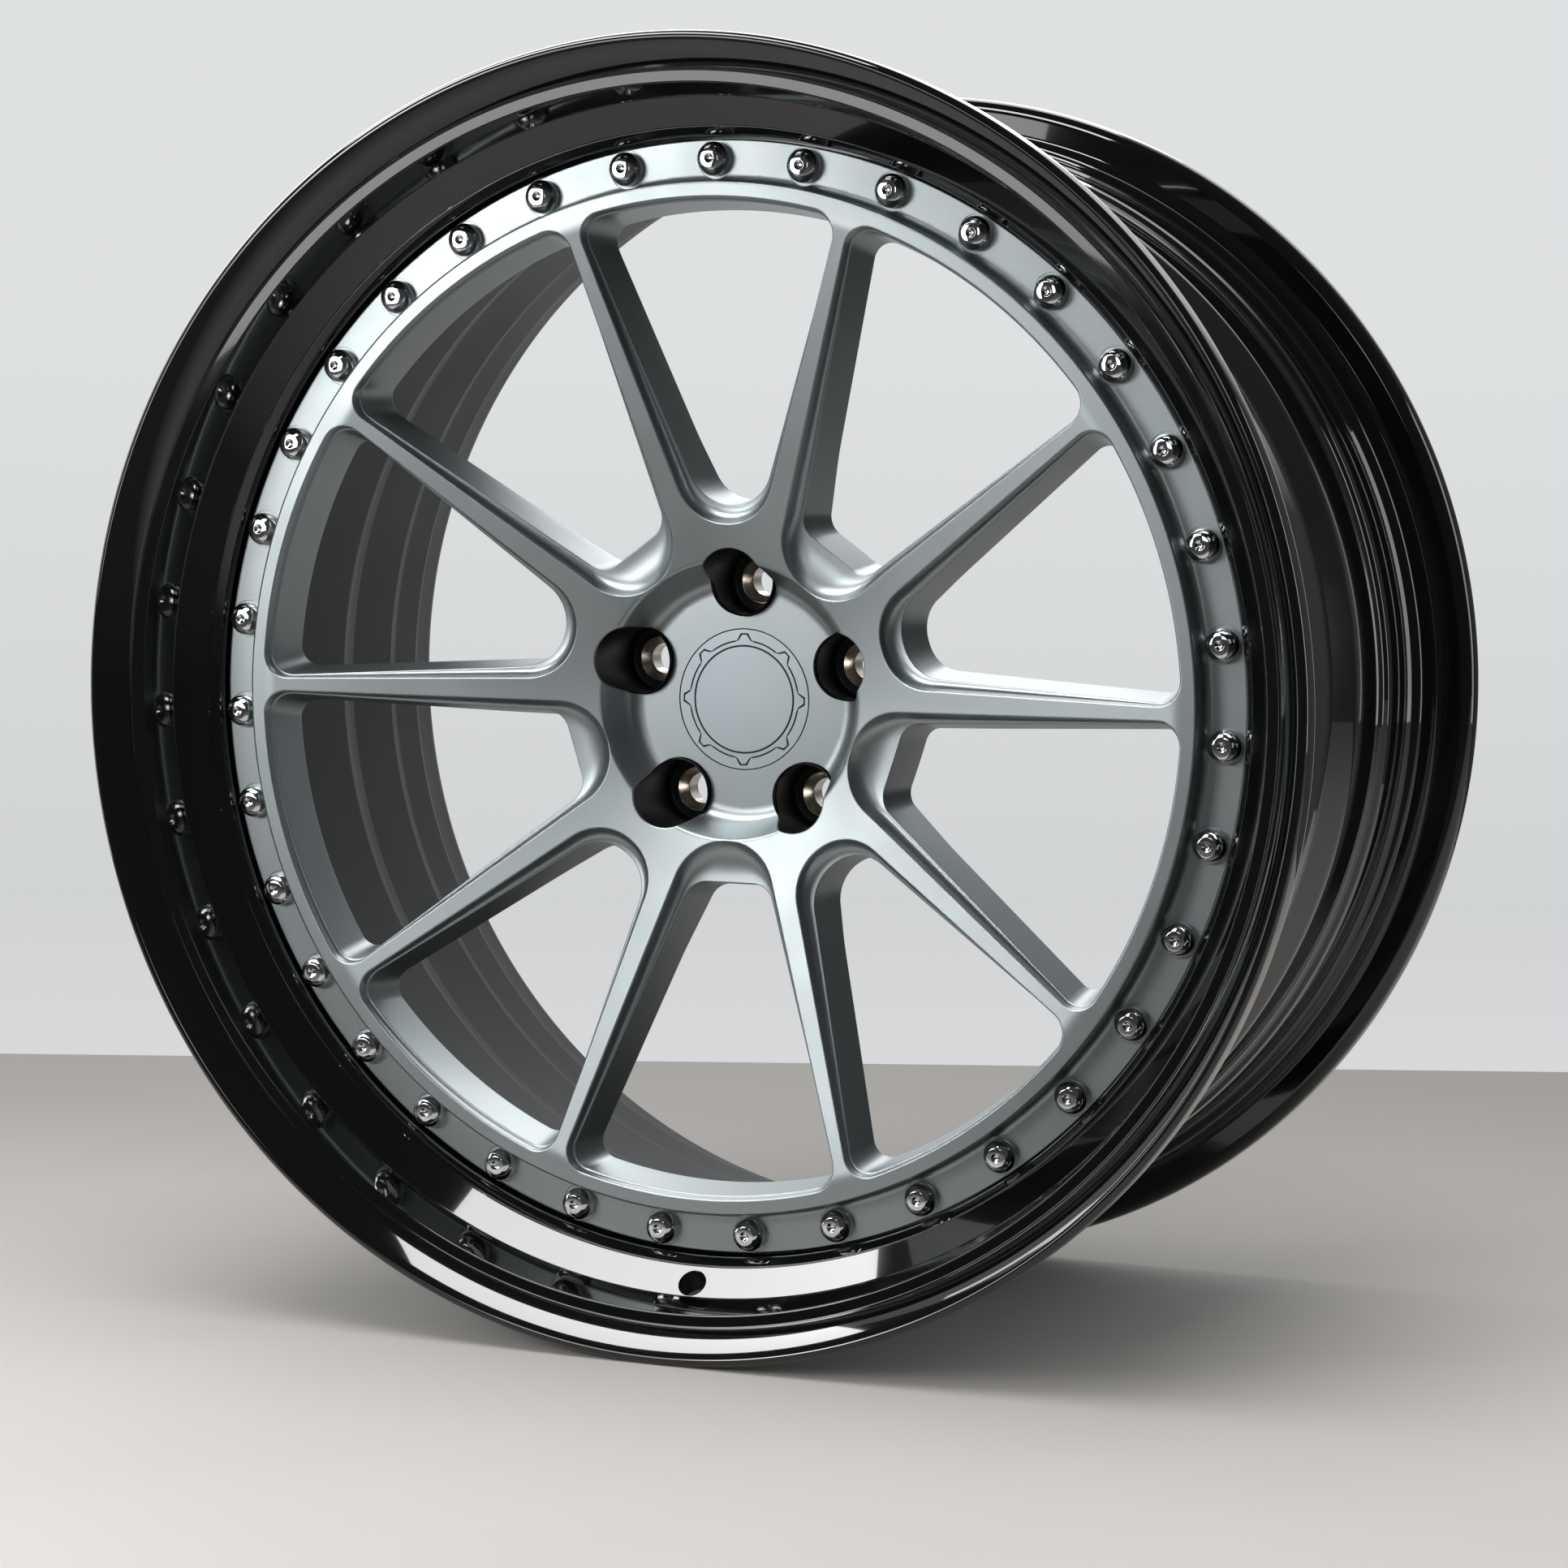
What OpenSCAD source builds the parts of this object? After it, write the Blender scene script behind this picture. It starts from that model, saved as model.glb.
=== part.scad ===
// Split rim wheel: a forged ten spoke centre disc clamped between a stepped
// outer lip and a deep inner barrel by a ring of domed assembly bolts.
// Lengths in millimetres. The wheel is modelled face up along Z (street side at
// +Z, bolt band face at Z = 0) and stood upright at the end: street side at -Y,
// up at +Z, origin at the middle of the width on the spin axis.

/* [Rim] */
// Bead seat diameter
rim_d = 508; // [500:1:516]
// Width between the two bead flanges
rim_w = 254; // [246:1:262]
// Height of the flanges above the bead seat
flange_h = 16.8; // [16:0.1:18]
// How far the rolled street edge stands in front of its bead flange
lip_roll = 20; // [18:0.5:22]
// How far the rear edge stands behind its bead flange
rear_roll = 13.1; // [11:0.1:15]
// Distance from the street edge back to the bolt band of the disc
face_setback = 52; // [50:0.5:54]
// Metal thickness of the barrel
barrel_wall = 4.5; // [4:0.1:5.5]
// Thickness of the bolting flanges of lip and barrel
clamp_flange = 5; // [4.5:0.1:6]
// Valve hole diameter
valve_d = 11.5; // [11:0.1:12]

/* [Assembly bolts] */
// Number of assembly bolts
bolt_count = 35; // [30:1:38]
// Bolt circle inset from the bead seat radius
bolt_inset = 30; // [29.5:0.1:30.5]
// Bolt shank diameter
bolt_d = 8; // [7:0.5:8]
// Domed head diameter
head_d = 14; // [13:0.5:14.5]
// Domed head height
head_h = 7.4; // [6.5:0.1:8]

/* [Centre disc] */
// Thickness of the bolt band
band_t = 8; // [7:0.5:9]
// How far the inner ring stands proud of the bolt band
ring_step = 11.2; // [10:0.2:12]
// Depth of the spokes at the ring
spoke_depth = 25; // [22:0.5:28]
// Corner radius at the outer end of the windows
window_corner = 10; // [9:0.5:11]
// Spoke width at the front, near the ring
spoke_w = 6.4; // [6:0.2:8]
// Depth of the scooped ledges below the spoke faces, at the hub
scoop_depth = 7.4; // [6.5:0.1:8]
// How much shallower the ledges grow per millimetre toward the ring
scoop_fall = 0.027; // [0.02:0.001:0.03]

/* [Hub] */
// Pitch circle diameter of the lug holes
pcd = 100; // [99:0.5:102]
// Number of lug holes, one between each pair of spokes
lug_count = 5; // [5:1:5]
// Lug hole diameter inside the seats
lug_d = 13; // [12.5:0.5:14]
// Largest diameter of the conical seats
seat_d = 18.8; // [18:0.2:19]
// Counterbore diameter around each seat
counterbore_d = 28.6; // [28:0.2:29.4]
// Thickness of the hub between its pad and the mounting face
hub_t = 32.95; // [31:0.05:35]
// Hub bore diameter
bore_d = 57.1; // [56:0.1:57.4]
// Distance of the mounting face in front of the middle of the width
wheel_offset = 25; // [20:0.5:30]

/* [Centre cap] */
// Cap diameter
cap_d = 59.5; // [59:0.1:60]
// Width of the seam around the cap
cap_seam = 0.35; // [0.3:0.05:0.5]

/* [Hidden] */
$fn = 96;
bead_r = rim_d / 2;
outer_r = bead_r + flange_h;
total_w = rim_w + lip_roll + rear_roll;
bolt_r = bead_r - bolt_inset;
front_z = face_setback;
rear_z = front_z - total_w;
front_flange_z = front_z - lip_roll;
rear_flange_z = rear_z + rear_roll;
mount_z = front_z - total_w / 2 + wheel_offset;
face_y = front_z - total_w / 2;
fit = 0.4;
press = 0.03;

// rings of the disc
disc_r = bolt_r + 8.3;
ring_r = bolt_r - 9.4;
window_r = bolt_r - 15.9;
spigot_r = ring_r + 0.6;
recess_r = pcd / 2 + 8.7;
pad_r = recess_r - 13.7;
pad_z = mount_z + hub_t;
recess_z = pad_z + 16.8;
face_slope = (ring_step - recess_z) / (window_r - 3 - recess_r);
function face_z(r) = ring_step - face_slope * max(0, window_r - 3 - r);
hub_r = pcd / 2 + 21;
spoke_back_z = ring_step - spoke_depth;
knee_r = 112;
knee_z = face_z(knee_r) - spoke_depth - 1.9;
hub_back_r = hub_r + 9.6;
hub_back_z = face_z(hub_back_r) - spoke_depth - 7.2;

// clamp stack behind the bolt band
lip_back_z = -band_t - clamp_flange;
clamp_z = lip_back_z - clamp_flange;
washer_t = 1.6;
washer_r = 7.3;
washer_room = 0.5;
nut_h = 8;
nut_af = 13;
drop_r = bolt_r + 13.5;
drop_in_r = drop_r - barrel_wall;

// points of an arc
function arc(c, r, a0, a1, n) =
    [for (i = [0:n]) c + r * [cos(a0 + (a1 - a0) * i / n), sin(a0 + (a1 - a0) * i / n)]];

// Windows
// A window is a wedge between two straight spoke sides, closed outside by an
// arc about the wheel axis with rounded corners. Its inner end is a round tip,
// or is squared off with corners of radius h[5] where that is above 0.
// h = [outer radius, corner radius, half angle, setback of the sides, inner end, inner corner]
arc_n = 6;
function side_d(h) = -h[3] * cos(h[2]);
function corner_c(h) =
    let (k = side_d(h) - h[1], m = sqrt(pow(h[0] - h[1], 2) - k * k))
        [m * cos(h[2]) - k * sin(h[2]), k * cos(h[2]) + m * sin(h[2])];
function inner_y(h) =
    h[5] > 0 ? (side_d(h) - h[5] + (h[4] + h[5]) * sin(h[2])) / cos(h[2]) : 0.5;
function inner_x(h) =
    h[5] > 0 ? h[4] + h[5] : (h[4] + side_d(h) - 0.5 * cos(h[2])) / (1 - sin(h[2]));
function window_outline(h) =
    let (c = corner_c(h), g = atan2(c[1], c[0]), x = inner_x(h), y = inner_y(h), a = h[2])
        concat(
            [for (i = [1:7]) h[0] * [cos(g * (i / 4 - 1)), sin(g * (i / 4 - 1))]],
            arc(c, h[1], g, 90 + a, arc_n),
            arc([x, y], x - h[4], 90 + a, 180, arc_n),
            arc([x, -y], x - h[4], 180, 270 - a, arc_n),
            arc([c[0], -c[1]], h[1], 270 - a, 360 - g, arc_n)
        );

// Cut for one window. From the front outline a concave scoop falls to the ledge
// outline, as a ball nosed cutter leaves it, and drafted walls run from there
// to the back outline. start is the slope of the scoop at its front edge.
scoop_n = 5;
function scoop_u(k, start) = 1 - sin(start * (1 - k / scoop_n)) / sin(start);
function scoop_v(k, start) = (cos(start * (1 - k / scoop_n)) - cos(start)) / (1 - cos(start));
function ledge_depth(x) = scoop_depth - scoop_fall * (x - hub_r - 9);
function back_z(r) =
    r < knee_r
        ? knee_z - (knee_z - hub_back_z) * (knee_r - r) / (knee_r - hub_back_r)
        : knee_z + (spoke_back_z - knee_z) * (r - knee_r) / (window_r - 4 - knee_r);
module window_cut(front, ledge, back, start) {
    f = window_outline(front);
    l = window_outline(ledge);
    b = window_outline(back);
    m = len(f);
    top = [for (i = [0:m - 1])
        let (p = f[i] - 0.3 * scoop_u(1, start) * (l[i] - f[i]))
            [p[0], p[1], ring_step + 20]];
    scoops = [for (k = [0:scoop_n])
        let (u = k == 0 ? -0.3 * scoop_u(1, start) : scoop_u(k, start),
            v = k == 0 ? -0.3 * scoop_v(1, start) : scoop_v(k, start))
            for (i = [0:m - 1])
                let (p = f[i] + u * (l[i] - f[i]))
                    [p[0], p[1], face_z(norm(p)) - v * ledge_depth(p[0])]];
    behind = [for (i = [0:m - 1]) [b[i][0], b[i][1], back_z(norm(b[i])) - 2]];
    low = [for (i = [0:m - 1]) [b[i][0], b[i][1], mount_z - 10]];
    rings = scoop_n + 4;
    polyhedron(
        points = concat(top, scoops, behind, low),
        faces = concat(
            [[for (i = [0:m - 1]) m - 1 - i]],
            [[for (i = [0:m - 1]) (rings - 1) * m + i]],
            [for (j = [0:rings - 2]) for (i = [0:m - 1])
                [(j + 1) * m + i, j * m + i, j * m + (i + 1) % m]],
            [for (j = [0:rings - 2]) for (i = [0:m - 1])
                [(j + 1) * m + i, j * m + (i + 1) % m, (j + 1) * m + (i + 1) % m]]
        )
    );
}

// window between the two spokes of a pair, in front of a lug hole
lug_front = [window_r, window_corner, 19.2, spoke_w + 3.6, 74.6, 0];
lug_ledge = [window_r - 1.5, window_corner - 1, 21, spoke_w + 11.7, 82.4, 0];
lug_back = [window_r - 4, window_corner - 1.5, 20.9, spoke_w + 14.6, 84.7, 0];
// window between two pairs, reaching in to the hub recess
gap_front = [window_r, window_corner, 18.8, spoke_w - 3.1, recess_r + 0.5, 0];
gap_ledge = [window_r - 1.5, window_corner - 1, 20.5, spoke_w + 4.8, 77.3, 10];
gap_back = [window_r - 4, window_corner - 1.5, 20.5, spoke_w + 8, 80.2, 8];

// Centre disc
module disc_section() {
    f = 3.2;
    polygon(concat(
        // mounting face, hub back and spoke backs, out to the spigot
        [[bore_d / 2 - 6, mount_z], [hub_r - 1.5, mount_z], [hub_r, mount_z + 1.5],
            [hub_r + 1.5, mount_z + 6], [hub_r + 5, hub_back_z - 3.2], [hub_back_r, hub_back_z],
            [knee_r, knee_z], [window_r - 4, spoke_back_z],
            [spigot_r - 1, spoke_back_z], [spigot_r, spoke_back_z + 1], [spigot_r, -band_t],
            [disc_r - 0.6, -band_t], [disc_r, -band_t + 0.6], [disc_r, -0.8], [disc_r - 0.8, 0]],
        // cove from the bolt band up to the raised ring
        arc([ring_r + f, f], f, 270, 180, 8),
        arc([ring_r - 1.2, ring_step - 1.2], 1.2, 0, 90, 5),
        // spoke faces down to the hub recess and its cove
        [[window_r - 3, ring_step], [recess_r + 1.2, face_z(recess_r + 1.2)]],
        [[recess_r, recess_z - 1]],
        arc([pad_r + 2.5, pad_z + 6], 6, 330, 270, 6),
        [[bore_d / 2 - 6, pad_z]]
    ));
}

module lug_at(i) {
    rotate([0, 0, 90 + i * 360 / lug_count])
        translate([pcd / 2, 0, 0])
            children();
}

// seats: top of the seat and floor of the counterbore around it
seat_z = pad_z - 18.8;
seat_floor_z = seat_z - 1.6;
seat_flange_r = seat_d / 2 + 0.5;
seat_flange_t = 4.1;
seat_body_r = lug_d / 2 + 1.9;
cap_plate_t = 3.2;
hub_bore_l = 19.5;
cap_bore_d = bore_d - 1.1;
spring_z = pad_z - cap_plate_t - 7;
skirt_r = cap_bore_d / 2 - 0.35;
skirt_low_z = spring_z - 2.9;

module centre_disc() {
    color([0.36, 0.39, 0.40])
        stand()
            difference() {
                rotate_extrude($fn = 360)
                    disc_section();
                // windows and scoops, two kinds taking turns
                for (i = [0:lug_count - 1]) {
                    rotate([0, 0, 90 + i * 360 / lug_count]) {
                        window_cut(lug_front, lug_ledge, lug_back, 78);
                    }
                    rotate([0, 0, 54 + i * 360 / lug_count]) {
                        window_cut(gap_front, gap_ledge, gap_back, 66);
                    }
                }
                // hub bore, then the narrower cap bore with the seat of the cap and
                // the groove for its spring ring
                translate([0, 0, mount_z - 1])
                    cylinder(d = bore_d, h = hub_bore_l + 1);
                translate([0, 0, mount_z - 1])
                    cylinder(d1 = bore_d + 5, d2 = bore_d, h = 2.5);
                translate([0, 0, mount_z])
                    cylinder(d = cap_bore_d, h = pad_z - mount_z + 2);
                translate([0, 0, pad_z - cap_plate_t])
                    cylinder(d = cap_d + 2 * cap_seam, h = 20);
                translate([0, 0, spring_z - 1.2])
                    cylinder(d = cap_bore_d + 1.6, h = 2.4);
                for (i = [0:lug_count - 1])
                    lug_at(i) {
                        translate([0, 0, seat_floor_z])
                            cylinder(d = counterbore_d, h = 60);
                        translate([0, 0, seat_z - seat_flange_t - press])
                            cylinder(r = seat_flange_r + press, h = 20);
                        translate([0, 0, mount_z - 1])
                            cylinder(r = seat_body_r + press, h = 40);
                    }
                // bolt holes with a small spot face that bites into the cove
                for (i = [0:bolt_count - 1])
                    bolt_at(i) {
                        translate([0, 0, -band_t - 1])
                            cylinder(d = bolt_d + fit, h = band_t + 2);
                        cylinder(d = head_d + 2, h = ring_step + 2);
                    }
            }
}

// Clamped rim halves
module bolt_at(i) {
    rotate([0, 0, 90 + i * 360 / bolt_count])
        translate([bolt_r, 0, 0])
            children();
}

module clamp_holes() {
    for (i = [0:bolt_count - 1])
        bolt_at(i)
            translate([0, 0, clamp_z - 2])
                cylinder(d = bolt_d + fit, h = -clamp_z);
}

lip_cone_top = [bead_r - 6.7, front_z - 29.8];
lip_cone_end = [bead_r - 16.9, front_z - 42.3];
gap_r = disc_r + 1;

module lip_section() {
    polygon(concat(
        // bolting flange, wall around the disc edge and its rounded bead
        [[spigot_r + fit, lip_back_z], [spigot_r + fit, -band_t], [gap_r, -band_t]],
        arc([gap_r + 2.6, 4.3], 2.6, 180, 140, 5),
        [lip_cone_end + [-0.6, -0.5], lip_cone_end + [-0.2, -0.55], lip_cone_end],
        // wide cone that carries the valve hole, then the steep wall of the step
        [lip_cone_top + [-0.5, -0.61], lip_cone_top + [0.02, 0.14], lip_cone_top + [0.31, 1.09]],
        [[bead_r - 3.1, front_z - 14.6], [bead_r - 2.88, front_z - 13.72], [bead_r - 2.1, front_z - 13.04]],
        // land and the rounded street face of the flange up to the rolled edge
        [[bead_r + 1.8, front_z - 11.8], [bead_r + 2.25, front_z - 11.5]],
        arc([outer_r + 1.9, front_z - 16.3], 17, 163, 107.5, 8),
        arc([outer_r - 2.45, front_z - 2.5], 2.45, 100, 0, 7),
        // tyre side: flange curl, bead flange, bead seat, hump and drop
        arc([outer_r - 9.5, front_flange_z + 9.5], 9.5, 0, -90, 8),
        arc([bead_r + 3.5, front_flange_z - 3.5], 3.5, 90, 180, 4),
        [[bead_r - 1.7, front_flange_z - 19.5]],
        arc([bead_r - 3, front_flange_z - 23], 2.6, 60, -30, 5),
        [[drop_r + 9, -2], [drop_r + 2.2, lip_back_z + 6], [drop_r, lip_back_z + 4],
            [drop_r, lip_back_z + 2], [drop_r - 2, lip_back_z]]
    ));
}

// the valve hole stands square to the cone of the lip, straight down, and the
// cone has this thickness there
valve_seat_t = 4.6;
valve_c = (lip_cone_top + lip_cone_end) / 2;
valve_tilt = atan2(lip_cone_top[1] - lip_cone_end[1], lip_cone_end[0] - lip_cone_top[0]);
module valve_axis() {
    rotate([0, 0, -90])
        translate([valve_c[0], 0, valve_c[1]])
            rotate([0, valve_tilt, 0])
                children();
}

module outer_lip() {
    color([0.03, 0.03, 0.035])
        stand()
            difference() {
                rotate_extrude($fn = 360)
                    lip_section();
                clamp_holes();
                valve_axis() {
                    translate([0, 0, -12])
                        cylinder(d = valve_d, h = 40);
                    translate([0, 0, valve_seat_t])
                        cylinder(d = valve_d + 4, h = 30);
                }
            }
}

// stations of the barrel behind the clamp
drop_end_z = -103;
run_z = -122;
step_z = -160;
module barrel_section() {
    w = barrel_wall;
    // fillet beside the washers
    root_f = drop_in_r - bolt_r - washer_r - washer_room;
    polygon(concat(
        // tyre side from the clamp flange to the rear edge
        [[spigot_r + fit, clamp_z], [spigot_r + fit, lip_back_z], [drop_r - 2, lip_back_z],
            [drop_r, lip_back_z - 2], [drop_r, drop_end_z]],
        [[bead_r - 9.8, run_z], [bead_r - 9.8, step_z], [bead_r - 8.8, step_z - 3],
            [bead_r - 7, step_z - 5.5], [bead_r - 6.4, step_z - 9], [bead_r - 6, rear_flange_z + 28.5],
            [bead_r - 4.2, rear_flange_z + 25.5]],
        arc([bead_r - 3.2, rear_flange_z + 22.5], 2.8, 70, -20, 5),
        [[bead_r - 1.7, rear_flange_z + 19.3]],
        arc([bead_r + 3.5, rear_flange_z + 3.5], 3.5, 180, 270, 4),
        [[bead_r + 6, rear_flange_z]],
        arc([outer_r - 6, rear_flange_z - 6], 6, 90, 20, 5),
        // rolled rear edge and the flared inside
        arc([outer_r - 3, rear_z + 3], 3, 0, -90, 6),
        [[bead_r + 10, rear_z], [bead_r + 7.6, rear_z + 0.8], [bead_r + 6.2, rear_z + 2.6]],
        arc([bead_r - w + 0.2 + 12, rear_z + 21], 12, 240, 180, 5),
        [[bead_r - w - 1.7, rear_flange_z + 22], [bead_r - w - 6, rear_flange_z + 30],
            [bead_r - w - 6.6, step_z - 9], [bead_r - w - 9.8, step_z], [bead_r - w - 9.8, run_z],
            [drop_in_r, drop_end_z - 1], [drop_in_r, clamp_z - root_f - 1]],
        arc([drop_in_r - root_f, clamp_z - root_f], root_f, 0, 90, 4)
    ));
}

module inner_barrel() {
    color([0.05, 0.05, 0.055])
        stand()
            difference() {
                rotate_extrude($fn = 360)
                    barrel_section();
                clamp_holes();
            }
}

// bead of sealant laid in the groove where lip and barrel meet
module sealant_ring() {
    color([0.12, 0.12, 0.12])
        stand()
            rotate_extrude($fn = 360)
                polygon([[drop_r - 2, lip_back_z], [drop_r, lip_back_z + 2], [drop_r + 0.9, lip_back_z + 1.2],
                    [drop_r + 0.9, lip_back_z - 1.2], [drop_r, lip_back_z - 2]]);
}

// Fasteners
module bolt() {
    r = head_d / 2;
    flat = 0.5 * r;
    // dome as one round sweep from the collar to the small flat
    rotate_extrude()
        polygon(concat(
            [[0, clamp_z - washer_t - nut_h - 1.5], [bolt_d / 2 - 0.8, clamp_z - washer_t - nut_h - 1.5],
                [bolt_d / 2, clamp_z - washer_t - nut_h - 0.7], [bolt_d / 2, 0], [r - 0.3, 0], [r, 0.3],
                [r, 1.4]],
            [for (i = [1:7]) [flat + (r - flat) * cos(i * 90 / 7), 1.4 + (head_h - 1.4) * sin(i * 90 / 7)]],
            [[1.6, head_h], [0.5, head_h - 1.1], [0, head_h - 1.1]]
        ));
}

module assembly_bolts() {
    color([0.80, 0.80, 0.82])
        stand()
            for (i = [0:bolt_count - 1])
                bolt_at(i)
                    bolt();
}

module nut_washers() {
    color([0.70, 0.70, 0.71])
        stand()
            for (i = [0:bolt_count - 1])
                bolt_at(i)
                    translate([0, 0, clamp_z - washer_t])
                        difference() {
                            cylinder(r = washer_r, h = washer_t, $fn = 48);
                            translate([0, 0, -1])
                                cylinder(d = bolt_d + fit, h = washer_t + 2, $fn = 48);
                        }
}

module assembly_nuts() {
    color([0.62, 0.62, 0.63])
        stand()
            for (i = [0:bolt_count - 1])
                bolt_at(i)
                    translate([0, 0, clamp_z - washer_t - nut_h])
                        difference() {
                            intersection() {
                                cylinder(d = nut_af / cos(30), h = nut_h, $fn = 6);
                                rotate_extrude()
                                    polygon([[0, 0], [nut_af / 2 - 0.2, 0],
                                        [nut_af / 2 + 1.3, 0.9], [nut_af / 2 + 1.3, nut_h - 0.5],
                                        [nut_af / 2 + 0.4, nut_h], [0, nut_h]]);
                            }
                            translate([0, 0, -1])
                                cylinder(d = bolt_d + 0.04, h = nut_h + 2);
                        }
}

// Lug seats
module lug_seat(i) {
    cone_h = (seat_d - lug_d) / 2 / tan(30);
    color([0.60, 0.57, 0.54])
        stand()
            lug_at(i)
                difference() {
                    rotate_extrude()
                        polygon([[0, mount_z], [seat_body_r - 0.4, mount_z], [seat_body_r, mount_z + 0.4],
                            [seat_body_r, seat_z - seat_flange_t], [seat_flange_r, seat_z - seat_flange_t],
                            [seat_flange_r, seat_z - 0.3], [seat_flange_r - 0.3, seat_z], [0, seat_z]]);
                    translate([0, 0, mount_z - 1])
                        cylinder(d = lug_d, h = 60);
                    translate([0, 0, seat_z - cone_h])
                        cylinder(d1 = lug_d, d2 = seat_d, h = cone_h);
                    translate([0, 0, seat_z - 0.001])
                        cylinder(d = seat_d, h = 2);
                }
}

module lug_seat_1() {
    lug_seat(0);
}

module lug_seat_2() {
    lug_seat(1);
}

module lug_seat_3() {
    lug_seat(2);
}

module lug_seat_4() {
    lug_seat(3);
}

module lug_seat_5() {
    lug_seat(4);
}

// Centre cap

// toothed ring engraved in the face of the cap
module tooth_plan(r, grow) {
    circle(r = 0.84 * r + grow);
    for (k = [0:7])
        rotate([0, 0, 90 + 45 * k])
            polygon([[0.7 * r, -0.105 * r - grow], [0.84 * r, -0.105 * r - grow],
                [0.935 * r + grow, -0.045 * r - grow], [0.935 * r + grow, 0.045 * r + grow],
                [0.84 * r, 0.105 * r + grow], [0.7 * r, 0.105 * r + grow]]);
}

module centre_cap() {
    r = cap_d / 2;
    color([0.38, 0.41, 0.42])
        stand()
            difference() {
                union() {
                    rotate_extrude()
                        polygon([[0, pad_z - cap_plate_t], [r - 0.2, pad_z - cap_plate_t],
                            [r, pad_z - cap_plate_t + 0.2], [r, pad_z - 0.4], [r - 0.4, pad_z], [0, pad_z]]);
                    translate([0, 0, skirt_low_z])
                        cylinder(r = skirt_r, h = pad_z - cap_plate_t - skirt_low_z + 0.5);
                }
                translate([0, 0, skirt_low_z - 1])
                    cylinder(r = skirt_r - 2.6, h = pad_z - cap_plate_t - skirt_low_z + 0.4);
                // groove that holds the spring ring
                translate([0, 0, spring_z])
                    difference() {
                        translate([0, 0, -0.85])
                            cylinder(r = skirt_r + 2, h = 1.7);
                        translate([0, 0, -1])
                            cylinder(r = skirt_r - 1.3, h = 2);
                    }
                // slots that let the skirt flex
                for (k = [0:5])
                    rotate([0, 0, 60 * k])
                        translate([0, -1.5, skirt_low_z - 1])
                            cube([skirt_r + 1, 3, 9]);
                // engraved lines
                translate([0, 0, pad_z - 0.45])
                    linear_extrude(1)
                        difference() {
                            tooth_plan(r, 0.25);
                            tooth_plan(r, -0.25);
                        }
                translate([0, 0, pad_z - 0.45])
                    difference() {
                        cylinder(r = 0.775 * r, h = 1);
                        translate([0, 0, -1])
                            cylinder(r = 0.775 * r - 0.6, h = 3);
                    }
            }
}

module cap_spring_ring() {
    color([0.75, 0.75, 0.76])
        stand()
            translate([0, 0, spring_z])
                difference() {
                    rotate_extrude()
                        translate([skirt_r - 0.1, 0])
                            circle(r = 0.8, $fn = 32);
                    translate([0, -1.5, -2])
                        cube([skirt_r + 3, 3, 4]);
                }
}

// stands the wheel upright, street side toward -Y
module stand() {
    translate([0, face_y, 0])
        rotate([90, 0, 0])
            children();
}

centre_disc();
outer_lip();
inner_barrel();
sealant_ring();
assembly_bolts();
nut_washers();
assembly_nuts();
lug_seat_1();
lug_seat_2();
lug_seat_3();
lug_seat_4();
lug_seat_5();
centre_cap();
cap_spring_ring();
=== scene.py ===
"""Split rim wheel: satin spoked disc, gloss black stepped lip and deep barrel, chrome assembly bolts."""
import math

import bpy
import numpy as np
from mathutils import Matrix, Vector
from mathutils.geometry import delaunay_2d_cdt


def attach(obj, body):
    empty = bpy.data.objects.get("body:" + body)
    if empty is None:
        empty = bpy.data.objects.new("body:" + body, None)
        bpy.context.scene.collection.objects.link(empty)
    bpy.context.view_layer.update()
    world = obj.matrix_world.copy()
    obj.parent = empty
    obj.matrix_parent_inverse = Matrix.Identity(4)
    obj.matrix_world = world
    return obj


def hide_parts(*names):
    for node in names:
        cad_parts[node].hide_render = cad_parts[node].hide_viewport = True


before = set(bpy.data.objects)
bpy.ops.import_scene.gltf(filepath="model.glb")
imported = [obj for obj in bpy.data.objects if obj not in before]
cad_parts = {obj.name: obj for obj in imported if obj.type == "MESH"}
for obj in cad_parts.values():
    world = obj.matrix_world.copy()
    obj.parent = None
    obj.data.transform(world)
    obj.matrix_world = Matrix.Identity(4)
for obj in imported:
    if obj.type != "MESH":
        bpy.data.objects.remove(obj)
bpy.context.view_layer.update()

# Lengths below are in millimetres and the wheel lies face up: z is 0 on the bolt
# band of the disc and rises to the street side. stand() turns it upright.
BAND_Y = -91.55
BOLT_R = 224.0
BOLTS = 35
LUGS = 5
LUG_R = 50.0
MOUNT_Z = -66.55
PAD_Z = -33.6
SEAT_Z = -52.4


# Camera
PHOTO_PX = 1932
FOCAL_PX = 4812.345
OPTICAL_X_PX, OPTICAL_Y_PX = 1065.49, 1093.05
SENSOR_MM = 36.0


def photo_camera():
    """Camera solved from the photograph: place, turn, focal length and optical centre."""
    cam = bpy.data.cameras.new("photo_camera")
    cam.sensor_width = SENSOR_MM
    cam.lens = FOCAL_PX / PHOTO_PX * SENSOR_MM
    cam.shift_x = (PHOTO_PX / 2 - OPTICAL_X_PX) / PHOTO_PX
    cam.shift_y = (OPTICAL_Y_PX - PHOTO_PX / 2) / PHOTO_PX
    cam.clip_end = 50
    right = Vector((0.92748639, 0.37367234, 0.01174633))
    down = Vector((0.04925957, -0.09100034, -0.99463181))
    ahead = Vector((-0.37059747, 0.92308609, -0.10280852))
    place = Vector((2.97917811, -6.64350526, 0.41066183)) * (BOLT_R / 1000) + Vector((0, BAND_Y / 1000, 0))
    turn = Matrix((right, -down, -ahead)).transposed().to_4x4()
    obj = bpy.data.objects.new("photo_camera", cam)
    bpy.context.scene.collection.objects.link(obj)
    obj.matrix_world = Matrix.Translation(place) @ turn
    bpy.context.scene.camera = obj


photo_camera()


# Mesh tools
def stand(p):
    return np.stack([p[..., 0], BAND_Y - p[..., 2], p[..., 1]], -1) * 0.001


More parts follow.
